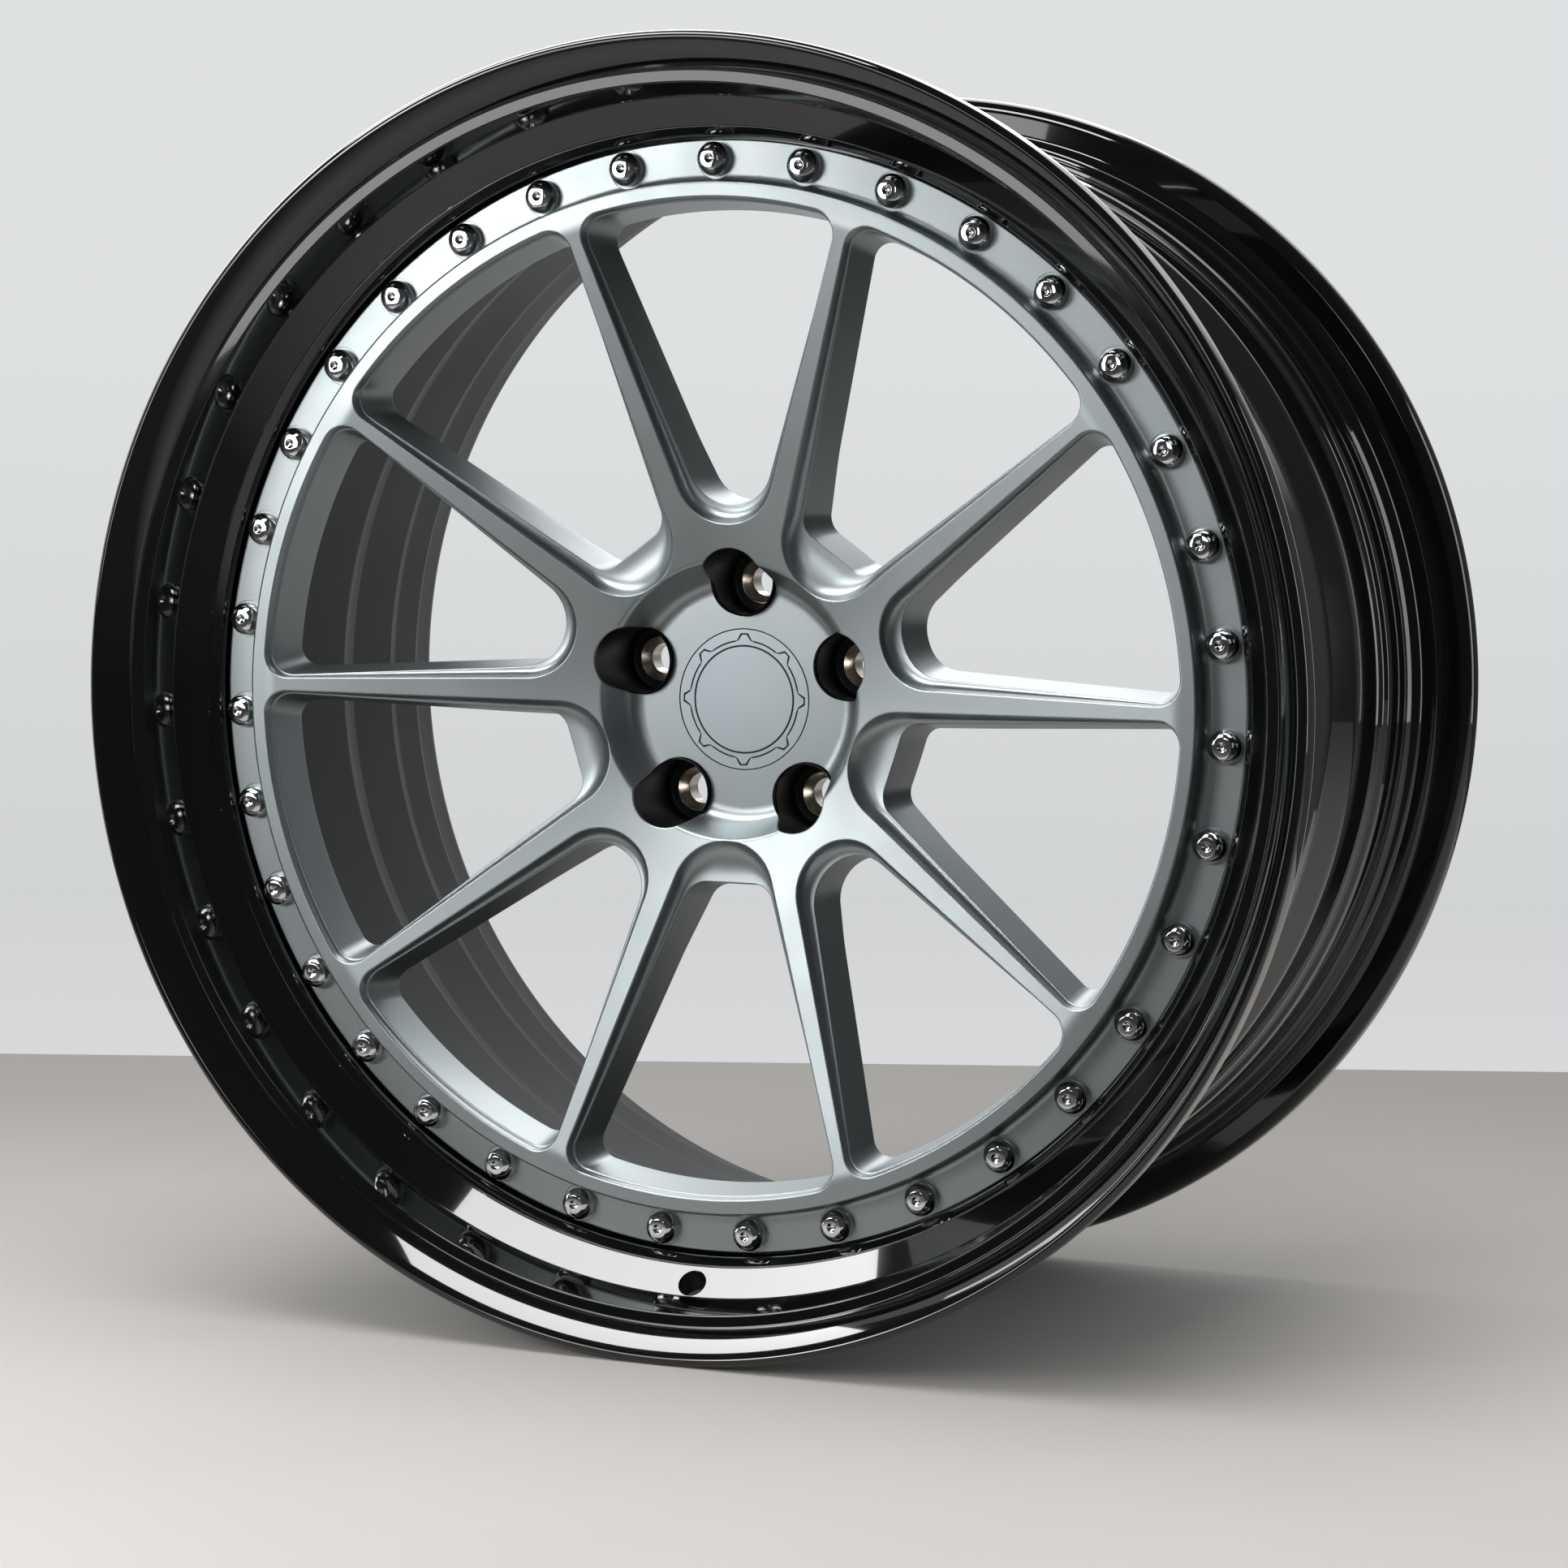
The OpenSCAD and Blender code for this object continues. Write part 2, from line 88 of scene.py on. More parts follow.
def stand_dir(n):
    return np.stack([n[..., 0], -n[..., 2], n[..., 1]], -1)


def unit(v):
    return v / np.maximum(np.linalg.norm(v, axis=-1, keepdims=True), 1e-12)


class Skin:
    """Faces gathered from patches. Patches share edge points, and each corner keeps its own normal."""

    def __init__(self):
        self.parts = []

    def faces(self, p, n, slot=0):
        """p and n are (faces, corners, 3). A face that winds against its normals is turned."""
        if p.shape[1] == 4:
            g = np.cross(p[:, 2] - p[:, 0], p[:, 3] - p[:, 1])
        else:
            g = np.cross(p[:, 1] - p[:, 0], p[:, 2] - p[:, 0])
        turned = (g * n.mean(1)).sum(1) < 0
        p, n = p.copy(), n.copy()
        p[turned] = p[turned][:, ::-1]
        n[turned] = n[turned][:, ::-1]
        self.parts.append((p, n, slot))

    def grid(self, p, n, slot=0, loop=False, gaps=()):
        """p and n are (rows, columns, 3); loop joins the last column to the first."""
        if loop:
            p = np.concatenate([p, p[:, :1]], 1)
            n = np.concatenate([n, n[:, :1]], 1)
        keep = np.ones((p.shape[0] - 1, p.shape[1] - 1), bool)
        for i0, i1, j0, j1 in gaps:
            keep[i0:i1, np.arange(j0, j1)] = False
        pp, nn = [np.stack([a[:-1, :-1], a[1:, :-1], a[1:, 1:], a[:-1, 1:]], 2)[keep] for a in (p, n)]
        self.faces(pp, nn, slot)

    def turned_copies(self, other, count, mirrored=True):
        """Adds other count times about Z, and its mirror image about the Y axis each time."""
        for p, n, slot in other.parts:
            for k in range(count):
                a = 2 * math.pi * k / count
                c, s = math.cos(a), math.sin(a)
                turn = np.array([[c, -s, 0], [s, c, 0], [0, 0, 1]])
                self.parts.append((p @ turn.T, n @ turn.T, slot))
                if mirrored:
                    flip = np.array([-1.0, 1.0, 1.0])
                    self.parts.append(((p * flip)[:, ::-1] @ turn.T, (n * flip)[:, ::-1] @ turn.T, slot))

    def build(self, name, materials):
        corners = np.concatenate([p.reshape(-1, 3) for p, n, s in self.parts])
        keys = np.round(corners * 2e3).astype(np.int64)
        _, first, index = np.unique(keys, axis=0, return_index=True, return_inverse=True)
        points = stand(corners[first])
        index = index.reshape(-1)
        faces, normals, slots = [], [], []
        start = 0
        for p, n, slot in self.parts:
            count, size = p.shape[:2]
            ids = index[start:start + count * size].reshape(count, size)
            start += count * size
            nn = stand_dir(unit(n))
            for row, nor in zip(ids.tolist(), nn.tolist()):
                keep = [i for i in range(size) if row[i] != row[i - 1]]
                if len(keep) < 3 or len({row[i] for i in keep}) < len(keep):
                    continue
                faces.append([row[i] for i in keep])
                normals.extend(nor[i] for i in keep)
                slots.append(slot)
        mesh = bpy.data.meshes.new(name)
        mesh.from_pydata(points.tolist(), [], faces)
        mesh.polygons.foreach_set("use_smooth", [True] * len(faces))
        mesh.polygons.foreach_set("material_index", slots)
        for m in materials:
            mesh.materials.append(m)
        mesh.normals_split_custom_set(normals)
        mesh.update()
        obj = bpy.data.objects.new(name, mesh)
        bpy.context.scene.collection.objects.link(obj)
        return obj


def profile(points, side=1.0, closed=False, step=9.0):
    """Samples a section through (r, z, corner radius) points as rows of r, z, nr, nz.
    side 1 puts the outside to the right of the way the points run. A corner of radius 0 stays
    sharp, unless it turns by under 25 degrees."""
    pts = [np.array(p[:2], float) for p in points]
    rad = [p[2] if len(p) > 2 else 0.0 for p in points]
    m = len(pts)
    rows = []

    def add(p, n):
        rows.append((p[0], p[1], n[0], n[1]))

    def way(a, b):
        d = b - a
        return d / np.hypot(*d)

    def out(d):
        return np.array([d[1], -d[0]]) * side

    for i in range(m):
        first, last = i == 0 and not closed, i == m - 1 and not closed
        if first:
            add(pts[0], out(way(pts[0], pts[1])))
            continue
        if last:
            add(pts[-1], out(way(pts[-2], pts[-1])))
            continue
        a, b, c = pts[i - 1], pts[i], pts[(i + 1) % m]
        d0, d1 = way(a, b), way(b, c)
        bend = math.atan2(d0[0] * d1[1] - d0[1] * d1[0], float(d0 @ d1))
        if rad[i] <= 0 or abs(bend) < 0.01:
            if abs(bend) < math.radians(25):
                add(b, unit(out(d0) + out(d1)))
            else:
                add(b, out(d0))
                add(b, out(d1))
            continue
        back = rad[i] * math.tan(abs(bend) / 2)
        s = b - d0 * back
        turn = math.copysign(1.0, bend)
        centre = s + np.array([-d0[1], d0[0]]) * rad[i] * turn
        steps = max(2, math.ceil(math.degrees(abs(bend)) / step))
        for k in range(steps + 1):
            t = bend * k / steps
            ct, st = math.cos(t), math.sin(t)
            v = s - centre
            p = centre + np.array([ct * v[0] - st * v[1], st * v[0] + ct * v[1]])
            n0 = out(d0)
            add(p, np.array([ct * n0[0] - st * n0[1], st * n0[0] + ct * n0[1]]))
    if closed:
        rows.append(rows[0])
    return np.array(rows)


def arc(centre, radius, a0, a1, steps):
    angles = [math.radians(a0 + (a1 - a0) * k / steps) for k in range(steps + 1)]
    return [(centre[0] + radius * math.cos(t), centre[1] + radius * math.sin(t)) for t in angles]


def turned(rows, angles):
    """Points and normals of section rows turned to each angle (degrees)."""
    t = np.radians(angles)
    c, s = np.cos(t), np.sin(t)
    p = np.stack([rows[:, None, 0] * c, rows[:, None, 0] * s, rows[:, None, 1] + 0 * c], -1)
    n = np.stack([rows[:, None, 2] * c, rows[:, None, 2] * s, rows[:, None, 3] + 0 * c], -1)
    return p, n


def lathe(skin, rows, count, slot=0, gaps=()):
    """Turns a section. gaps are (first row, last row, first column, last column) left open.
    Columns are counted from -Y."""
    p, n = turned(rows, np.arange(count) * 360.0 / count - 90)
    skin.grid(p, n, slot, loop=True, gaps=gaps)


def inside(loop, q):
    """Even-odd test of points q against a closed outline."""
    a, b = loop, np.roll(loop, -1, 0)
    hit = np.zeros(len(q), bool)
    for (x1, y1), (x2, y2) in zip(a, b):
        if y1 == y2:
            continue
        cross = ((y1 > q[:, 1]) != (y2 > q[:, 1])) & (q[:, 0] < (x2 - x1) * (q[:, 1] - y1) / (y2 - y1) + x1)
        hit ^= cross
    return hit


def clear_of(loop, q, gap):
    """Which points q lie further than gap (one per point) from an outline's corners."""
    keep = np.ones(len(q), bool)
    for i in range(0, len(q), 400):
        part = q[i:i + 400, None]
        d = np.hypot(part[..., 0] - loop[None, :, 0], part[..., 1] - loop[None, :, 1]).min(1)
        keep[i:i + 400] = d > gap[i:i + 400]
    return keep


def fill(loop, extra, holes=()):
    """Triangles over the inside of an outline, with extra points. Returns points and triangles."""
    loops = [loop, *holes]
    pts = np.concatenate([*loops, extra]) if len(extra) else np.concatenate(loops)
    edges, at = [], 0
    for ring in loops:
        m = len(ring)
        edges += [(at + i, at + (i + 1) % m) for i in range(m)]
        at += m
    centre = pts.mean(0)
    out = delaunay_2d_cdt([Vector(p - centre) for p in pts], edges, [], 0, 1e-6)
    source = np.array([o[0] if o else -1 for o in out[3]])
    new = np.array([list(v) for v in out[0]]) + centre
    xy = np.where(source[:, None] >= 0, pts[np.maximum(source, 0)], new)
    tris = np.array([f for f in out[2] if len(f) == 3])
    mid = xy[tris].mean(1)
    u, v = xy[tris[:, 1]] - xy[tris[:, 0]], xy[tris[:, 2]] - xy[tris[:, 0]]
    ok = inside(loop, mid) & (np.abs(u[:, 0] * v[:, 1] - u[:, 1] * v[:, 0]) > 1e-6)
    for ring in holes:
        ok &= ~inside(ring, mid)
    return xy, tris[ok]


def rings_of_points(r0, r1, spacing, a0, a1):
    """Points on circles between two angles (degrees), about spacing(r) apart."""
    out, r, odd = [], r0, 0
    while r < r1:
        h = spacing(r)
        m = max(1, round(math.radians(a1 - a0) * r / h))
        a = np.radians(a0 + (a1 - a0) * (np.arange(m) + 0.5 * (odd % 2) + 0.25) / m)
        out.append(np.stack([r * np.cos(a), r * np.sin(a)], -1))
        r += 0.87 * h
        odd += 1
    return np.concatenate(out)


# Centre disc
DISC_EDGE = 232.3
RING_R = 214.6
WINDOW_R = 208.1
WINDOW_CORNER = 10.0

disc_face = profile([
    (211.0, 11.2), (205.1, 11.2, 24), (58.7, -16.8, 2.2), (51.3, PAD_Z, 7.5), (34.0, PAD_Z)],
    side=1.0, step=4)
disc_back = profile([
    (69.0, MOUNT_Z), (71.0, MOUNT_Z, 1.6), (72.6, -60.5, 3), (76.0, -48.0, 5), (80.6, -44.8, 6),
    (112.0, -33.5, 60), (206.0, -13.4)], side=1.0, step=4)


def on_section(rows, r):
    """Height and normal of a section at radius r."""
    order = np.argsort(rows[:, 0], kind="stable")
    rr = rows[order, 0]
    return [np.interp(r, rr, rows[order, k]) for k in (1, 2, 3)]


def lift(rows, xy):
    """Plan points set on a turned surface, with its normals."""
    r = np.hypot(xy[..., 0], xy[..., 1])
    z, nr, nz = on_section(rows, r)
    p = np.concatenate([xy, z[..., None]], -1)
    n = np.stack([nr * xy[..., 0] / r, nr * xy[..., 1] / r, nz], -1)
    return p, unit(n)


class Window:
    """Half outline of a window, from the middle of its outer end, round the corner and along the spoke
    to the middle of its inner end."""

    def __init__(self, outer, corner, half, setback, tip, tip_corner=0.0):
        a = math.radians(half)
        d = -setback * math.cos(a)
        k = d - corner
        m = math.sqrt((outer - corner) ** 2 - k * k)
        c = np.array([m * math.cos(a) - k * math.sin(a), k * math.cos(a) + m * math.sin(a)])
        g = math.atan2(c[1], c[0])
        if tip_corner > 0:
            x = tip + tip_corner
            y = (d - tip_corner + x * math.sin(a)) / math.cos(a)
        else:
            y = 0.5
            x = (tip + d - y * math.cos(a)) / (1 - math.sin(a))
        rho = x - tip
        t = np.linspace(0, g, 21)[:-1]
        self.points = [np.stack([outer * np.cos(t), outer * np.sin(t)], -1)]
        self.ways = [np.stack([np.cos(t), np.sin(t)], -1)]
        t = np.linspace(g, math.pi / 2 + a, 16)
        self.points.append(c + corner * np.stack([np.cos(t), np.sin(t)], -1))
        self.ways.append(np.stack([np.cos(t), np.sin(t)], -1))
        n = np.array([-math.sin(a), math.cos(a)])
        p0, p1 = c + corner * n, np.array([x, y]) + rho * n
        t = np.linspace(0, 1, 26)[1:-1, None]
        self.points.append(p0 + (p1 - p0) * t)
        self.ways.append(np.repeat(n[None], 24, 0))
        t = np.linspace(math.pi / 2 + a, math.pi, 20)
        self.points.append(np.array([x, y]) + rho * np.stack([np.cos(t), np.sin(t)], -1))
        self.ways.append(np.stack([np.cos(t), np.sin(t)], -1))
        t = np.linspace(1, 0, 5)[1:]
        self.points.append(np.stack([np.full(4, tip), y * t], -1))
        self.ways.append(np.tile([-1.0, 0.0], (4, 1)))
        self.points = np.concatenate(self.points)
        self.ways = np.concatenate(self.ways)


lug_front = Window(WINDOW_R, WINDOW_CORNER, 19.2, 10.0, 74.6)
lug_ledge = Window(WINDOW_R - 1.5, WINDOW_CORNER - 1, 21.0, 18.1, 82.4)
lug_back = Window(WINDOW_R - 4, WINDOW_CORNER - 1.5, 20.9, 21.0, 84.7)
gap_front = Window(WINDOW_R, WINDOW_CORNER, 18.8, 3.3, 59.2)
gap_ledge = Window(WINDOW_R - 1.5, WINDOW_CORNER - 1, 20.5, 11.2, 77.3, 10.0)
gap_back = Window(WINDOW_R - 4, WINDOW_CORNER - 1.5, 20.5, 14.4, 80.2, 8.0)

EDGE = 0.8
LEDGE_EDGE = 0.5
BACK_EDGE = 0.7


def plan_turn(xy, degrees, flip):
    if flip:
        xy = xy * np.array([1.0, -1.0])
    c, s = math.cos(math.radians(degrees)), math.sin(math.radians(degrees))
    return xy @ np.array([[c, s], [-s, c]])


def window_walls(skin, front, ledge, back, slope, degrees, flip):
    """Rounded front edge, scoop, ledge edge, drafted wall and back edge of half a window. Returns its
    front and back outlines in plan."""
    s = math.radians(slope)
    tau = EDGE * math.tan(s / 2)
    rows = []

    def add(xy, drop, rows_of=disc_face):
        z = on_section(rows_of, np.hypot(xy[:, 0], xy[:, 1]))[0] - drop
        rows.append(np.concatenate([xy, np.broadcast_to(z, (len(xy),))[:, None]], -1))

    for f in np.linspace(0, s, 5):
        add(front.points + front.ways * (tau - EDGE * math.sin(f)), EDGE * (1 - math.cos(f)))
    start = front.points + front.ways * (tau - EDGE * math.sin(s))
    end = ledge.points + ledge.ways * LEDGE_EDGE
    d0 = EDGE * (1 - math.cos(s))
    depth = 7.4 - 0.027 * (ledge.points[:, 0] - 80)
    for q in np.linspace(0.1, 1, 8):
        u = 1 - math.sin(s * (1 - q)) / math.sin(s)
        v = (math.cos(s * (1 - q)) - math.cos(s)) / (1 - math.cos(s))
        add(start + u * (end - start), d0 + v * (depth - d0))
    for f in np.linspace(0, math.pi / 2, 4)[1:]:
        xy = ledge.points + ledge.ways * LEDGE_EDGE * (1 - math.sin(f))
        add(xy, depth + LEDGE_EDGE * (1 - math.cos(f)))
    low = back.points
    z_low = on_section(disc_back, np.hypot(low[:, 0], low[:, 1]))[0] + BACK_EDGE
    top = rows[-1]
    for q in (0.33, 0.67):
        rows.append(top + q * (np.concatenate([low, z_low[:, None]], -1) - top))
    for f in np.linspace(0, math.pi / 2, 4):
        add(low + back.ways * BACK_EDGE * (1 - math.cos(f)), -BACK_EDGE * (1 - math.sin(f)), disc_back)
    p = np.stack(rows)
    wide = np.concatenate([p[:, 1:2] * [1, -1, 1], p, p[:, -2:-1] * [1, -1, 1]], 1)
    along = wide[:, 2:] - wide[:, :-2]
    down = np.empty_like(p)
    down[1:-1] = p[2:] - p[:-2]
    down[0], down[-1] = p[1] - p[0], p[-1] - p[-2]
    n = unit(np.cross(along, down))
    middle = np.array([140.0, 0.0])
    if (n[10, :, :2] * (middle - p[10, :, :2])).sum() < 0:
        n = -n
    n[0] = lift(disc_face, p[0, :, :2])[1]
    n[-1] = lift(disc_back, p[-1, :, :2])[1]

    def place(v):
        return np.concatenate([plan_turn(v[..., :2], degrees, flip), v[..., 2:]], -1)

    skin.grid(place(p), place(n))
    return place(p)[0, :, :2], place(p)[-1, :, :2]


def bored(skin, centre_r, rows, degrees, top, bottom, slots):
    """Half of a hole with its axis along Z at centre_r, from the disc's face to the mounting pad.
    rows are (radius, z) below the rounded edge, and top and bottom are (radius, edge rounding).
    Returns its top and bottom outlines in plan."""
    t = np.linspace(0, math.pi, 37)
    ring = np.stack([np.cos(t), -np.sin(t)], -1)
    centre = np.array([centre_r, 0.0])
    p = []
    r_top, e = top
    for f in np.linspace(0, math.pi / 2, 5):
        xy = centre + ring * (r_top + e * (1 - math.sin(f)))
        z = on_section(disc_face, np.hypot(xy[:, 0], xy[:, 1]))[0] - e * (1 - math.cos(f))
        p.append(np.concatenate([xy, z[:, None]], -1))
    edge_rows = len(p)
    for r, z in rows:
        p.append(np.concatenate([centre + ring * r, np.full((len(t), 1), z)], -1))
    r_low, e = bottom
    for f in np.linspace(0, math.pi / 2, 4):
        xy = centre + ring * (r_low + e * (1 - math.cos(f)))
        p.append(np.concatenate([xy, np.full((len(t), 1), MOUNT_Z + e * (1 - math.sin(f)))], -1))
    p = np.stack(p)
    down = np.empty_like(p)
    down[1:-1] = p[2:] - p[:-2]
    down[0], down[-1] = p[1] - p[0], p[-1] - p[-2]
    tangent = np.concatenate([np.stack([-np.sin(t), -np.cos(t)], -1), np.zeros((len(t), 1))], -1)
    n = unit(np.cross(np.broadcast_to(tangent, down.shape), down))
    inward = np.concatenate([-ring, np.zeros((len(t), 1))], -1)
    if (n[edge_rows] * inward).sum() < 0:
        n = -n
    n[0] = lift(disc_face, p[0, :, :2])[1]
    n[-1] = np.array([0, 0, -1.0])

    def place(v):
        return np.concatenate([plan_turn(v[..., :2], degrees, False), v[..., 2:]], -1)

    p, n = place(p), place(n)
    skin.grid(p[:edge_rows], n[:edge_rows], slots[0])
    skin.grid(p[edge_rows - 1:], n[edge_rows - 1:], slots[1])
    return p[0, :, :2], p[-1, :, :2]


def circle_piece(r, a0, a1, steps):
    t = np.radians(np.linspace(a0, a1, steps + 1))
    return np.stack([r * np.cos(t), r * np.sin(t)], -1)


def straight(a, b, gap):
    """Points between a and b, without the ends."""
    m = max(1, round(np.hypot(*(b - a)) / gap))
    return a + (b - a) * (np.arange(1, m) / m)[:, None]


def chain(pieces):
    """Joins plan pieces end to end, dropping repeated points."""
    pts = np.concatenate(pieces)
    keep = np.hypot(*(pts - np.roll(pts, 1, 0)).T) > 1e-6
    return pts[keep]


def surface_patch(skin, rows, loop, spacing, r0, r1, slot=0):
    extra = rings_of_points(r0, r1, spacing, 52, 92)
    extra = extra[inside(loop, extra)]
    gap = np.array([0.62 * spacing(r) for r in np.hypot(extra[:, 0], extra[:, 1])])
    extra = extra[clear_of(loop, extra, gap)]
    xy, tris = fill(loop, extra)
    p, n = lift(rows, xy)
    skin.faces(p[tris], n[tris], slot)


SPOT_R = 8.0
SPOT_DEEP = 0.3
SPOT_EDGE = 0.15
HEAD_HIDES = 6.6
COVE = 3.2
BAND_END = 231.4
SPOT_IN = RING_R + COVE * (1 - math.cos(math.radians(45)))


def spot_face():
    """One bolt's share of the band and its cove, with the shallow spot face under the head."""
    sector = Skin()
    half = 180.0 / BOLTS
    cove = arc((RING_R + COVE, COVE), COVE, 225, 270, 12)
    curved = [(r, z, (RING_R + COVE - r) / COVE, (COVE - z) / COVE) for r, z in cove]
    rows = np.array(curved + [(BAND_END, 0, 0, 1)])
    t = np.radians(np.arange(0, 360, 10.0))
    ring = np.stack([np.cos(t), np.sin(t)], -1)
    centre = np.array([0, BOLT_R])
    levels = []
    for f in np.linspace(0, math.pi / 2, 4):
        xy = centre + ring * (SPOT_R + SPOT_EDGE * (1 - math.sin(f)))
        z = lift(rows, xy)[0][:, 2] - SPOT_EDGE * (1 - math.cos(f))
        n = np.concatenate([-ring * math.sin(f), np.full((len(t), 1), math.cos(f))], -1)
        levels.append((np.concatenate([xy, z[:, None]], -1), n))
    inward = np.concatenate([-ring, np.zeros((len(t), 1))], -1)
    up = np.broadcast_to(np.array([0, 0, 1.0]), inward.shape)
    for r, n in ((SPOT_R, inward), (SPOT_R, up), (HEAD_HIDES, up)):
        levels.append((np.concatenate([centre + ring * r, np.full((len(t), 1), -SPOT_DEEP)], -1), n))
    sector.grid(np.stack([p for p, n in levels]), np.stack([n for p, n in levels]), loop=True)
    inner = circle_piece(SPOT_IN, 90 - half, 90 + half, 14)
    outer = circle_piece(BAND_END, 90 + half, 90 - half, 14)
    loop = chain([inner, straight(inner[-1], outer[0], 1.4), outer, straight(outer[-1], inner[0], 1.4)])
    hole = levels[0][0][:, :2]

    def band_gap(r):
        return 1.1 if r < 218.5 else 2.6

    extra = rings_of_points(SPOT_IN + 0.6, BAND_END - 0.4, band_gap, 90 - half, 90 + half)
    extra = extra[inside(loop, extra) & ~inside(hole, extra)]
    gap = np.full(len(extra), 0.9)
    extra = extra[clear_of(loop, extra, gap) & clear_of(hole, extra, gap)]
    xy, tris = fill(loop, extra, [hole])
    p, n = lift(rows, xy)
    sector.faces(p[tris], n[tris])
    return sector


def centre_disc():
    """One tenth of the disc is made, from the middle of a window between pairs (54 degrees) to the
    middle of a lug window (90), then mirrored and turned."""
    tenth = Skin()
    lug_top, lug_low = window_walls(tenth, lug_front, lug_ledge, lug_back, 78, 90, True)
    gap_top, gap_low = window_walls(tenth, gap_front, gap_ledge, gap_back, 66, 54, False)
    hole_rows = [(14.3, z) for z in (-30.0, -40.0, -52.0)]
    hole_rows += arc((12.8, -52.55), 1.5, 0, -90, 5)
    hole_rows += [(10.4, -54.05), (10.1, -54.15), (9.93, -54.4), (9.93, -56.53), (8.43, -56.53)]
    # the counterbore walls take slot 1, the near-black satin that is partly painted shade
    bore_top, bore_low = bored(tenth, LUG_R, hole_rows, 90, (14.3, 0.7), (8.43, 0.5), (0, 1))
    # front face
    inner = circle_piece(34.0, 54, 90, 24)
    outer = circle_piece(211.0, 90, 54, 49)
    loop = chain([
        inner, straight(inner[-1], bore_top[-1], 1.5), bore_top[::-1],
        straight(bore_top[0], lug_top[-1], 1.5), lug_top[::-1], straight(lug_top[0], outer[0], 1.5),
        outer, straight(outer[-1], gap_top[0], 1.5), gap_top, straight(gap_top[-1], inner[0], 1.5)])

    def face_gap(r):
        return np.interp(r, [34, 43, 46, 56, 57, 61, 64, 80, 190, 201, 208, 211],
                         [2.8, 2.8, 1.6, 1.6, 1.0, 1.0, 2.0, 4.0, 4.0, 1.6, 1.6, 2.2])

    surface_patch(tenth, disc_face, loop, face_gap, 36, 210.5)
    # spoke backs
    inner = circle_piece(79.0, 54, 90, 24)
    outer = circle_piece(206.0, 90, 54, 49)
    loop = chain([
        inner, straight(inner[-1], lug_low[-1], 1.5), lug_low[::-1], straight(lug_low[0], outer[0], 1.5),
        outer, straight(outer[-1], gap_low[0], 1.5), gap_low, straight(gap_low[-1], inner[0], 1.5)])
    surface_patch(tenth, disc_back, loop, lambda r: np.interp(r, [79, 90, 200], [2.4, 6.0, 6.0]), 80, 205)
    # mounting pad
    inner = circle_piece(31.0, 54, 90, 24)
    outer = circle_piece(69.0, 90, 54, 24)
    loop = chain([
        inner, straight(inner[-1], bore_low[-1], 2), bore_low[::-1], straight(bore_low[0], outer[0], 2),
        outer, straight(outer[-1], inner[0], 2)])
    flat = np.array([[30.0, MOUNT_Z, 0, -1.0], [70.0, MOUNT_Z, 0, -1.0]])
    surface_patch(tenth, flat, loop, lambda r: 4.0, 33, 68)
    disc = Skin()
    disc.turned_copies(tenth, LUGS)
    # hub back between pad and spokes
    hub = disc_back[(disc_back[:, 0] <= 79.0)]
    z79, nr, nz = on_section(disc_back, 79.0)
    lathe(disc, np.concatenate([hub, [[79.0, z79, nr, nz]]]), 240)
    # rim of the disc: spigot, mating face, edge, bolt band, cove and raised ring
    edge = profile([
        (206.0, -13.4), (206.6, -13.8, 0.4), (215.2, -13.8, 1.0), (215.2, -8.0, 0.3),
        (DISC_EDGE, -8.0, 0.6), (DISC_EDGE, 0.0, 0.9), (RING_R, 0.0, COVE), (RING_R, 11.2, 1.3),
        (211.0, 11.2)], side=1.0, step=15)
    edge[0, 1:] = [*on_section(disc_back, 206.0)]
    start = int(np.where((edge[:, 0] < BAND_END + 0.1) & (np.abs(edge[:, 1]) < 1e-6))[0][0])
    end = int(np.where((edge[:, 0] < SPOT_IN + 0.01) & (edge[:, 1] > 0.5))[0][0])
    lathe(disc, edge[:start + 1], 14 * BOLTS)
    lathe(disc, edge[end:], 14 * BOLTS)
    disc.turned_copies(spot_face(), BOLTS, mirrored=False)
    # cap seat, cap bore with its groove, hub bore
    bore = profile([
        (34.0, PAD_Z), (30.1, PAD_Z, 0.15), (30.1, PAD_Z - 3.2, 0.2), (28.0, PAD_Z - 3.2, 0.3),
        (28.0, -42.6), (28.8, -42.6), (28.8, -45.0), (28.0, -45.0), (28.0, -47.05), (28.55, -47.05),
        (28.55, -65.05), (30.05, MOUNT_Z), (31.0, MOUNT_Z)], side=1.0, step=15)
    lathe(disc, bore[:4], 240)
    # the bore below the cap seat takes the near-black slot, painted shade in the thin gap round the cap
    lathe(disc, bore[3:], 240, 1)
    return disc


# Rim halves
LIP_POINTS = [
    (215.6, -13, 0.3), (215.6, -8, 0.2), (233.3, -8, 0.2), *arc((235.9, 4.3), 2.6, 180, 140, 8),
    (236.5, 9.2, 0.3), (236.85, 9.15, 0.2), (237.1, 9.7, 0.25), (248.3, 19.8, 2.0), (251.3, 39.35, 0.9),
    (256.3, 40.1, 0.7), *arc((295.64, 13.01), 48, 144.3, 127.4, 12),
    *arc((268.35, 49.5), 2.45, 125, 0, 16), *arc((261.3, 41.5), 9.5, 0, -90, 14),
    *arc((257.5, 28.5), 3.5, 90, 180, 10), (252.3, 12.5, 3), *arc((251, 9), 2.6, 50, -30, 10),
    (246.5, -2, 7), (239.7, -7, 5), (237.5, -9, 1.2), (237.5, -11, 0.3), (235.5, -13, 0.3)]
CONE_END, CONE_TOP = np.array([237.1, 9.7]), np.array([248.3, 19.8])
VALVE_AT, VALVE_WAY = np.array([242.2, 15.95]), np.array([0.77477, -0.63221])
VALVE_R = 5.75
VALVE_DEEP = 4.6
VALVE_SPOT = 7.75
LIP_TURNS = 480


def closed_side(points):
    """Which way to pass to profile() for a closed outline, from the sign of its area."""
    q = np.array([p[:2] for p in points])
    area = (q[:, 0] * np.roll(q[:, 1], -1) - np.roll(q[:, 0], -1) * q[:, 1]).sum()
    return math.copysign(1.0, area)


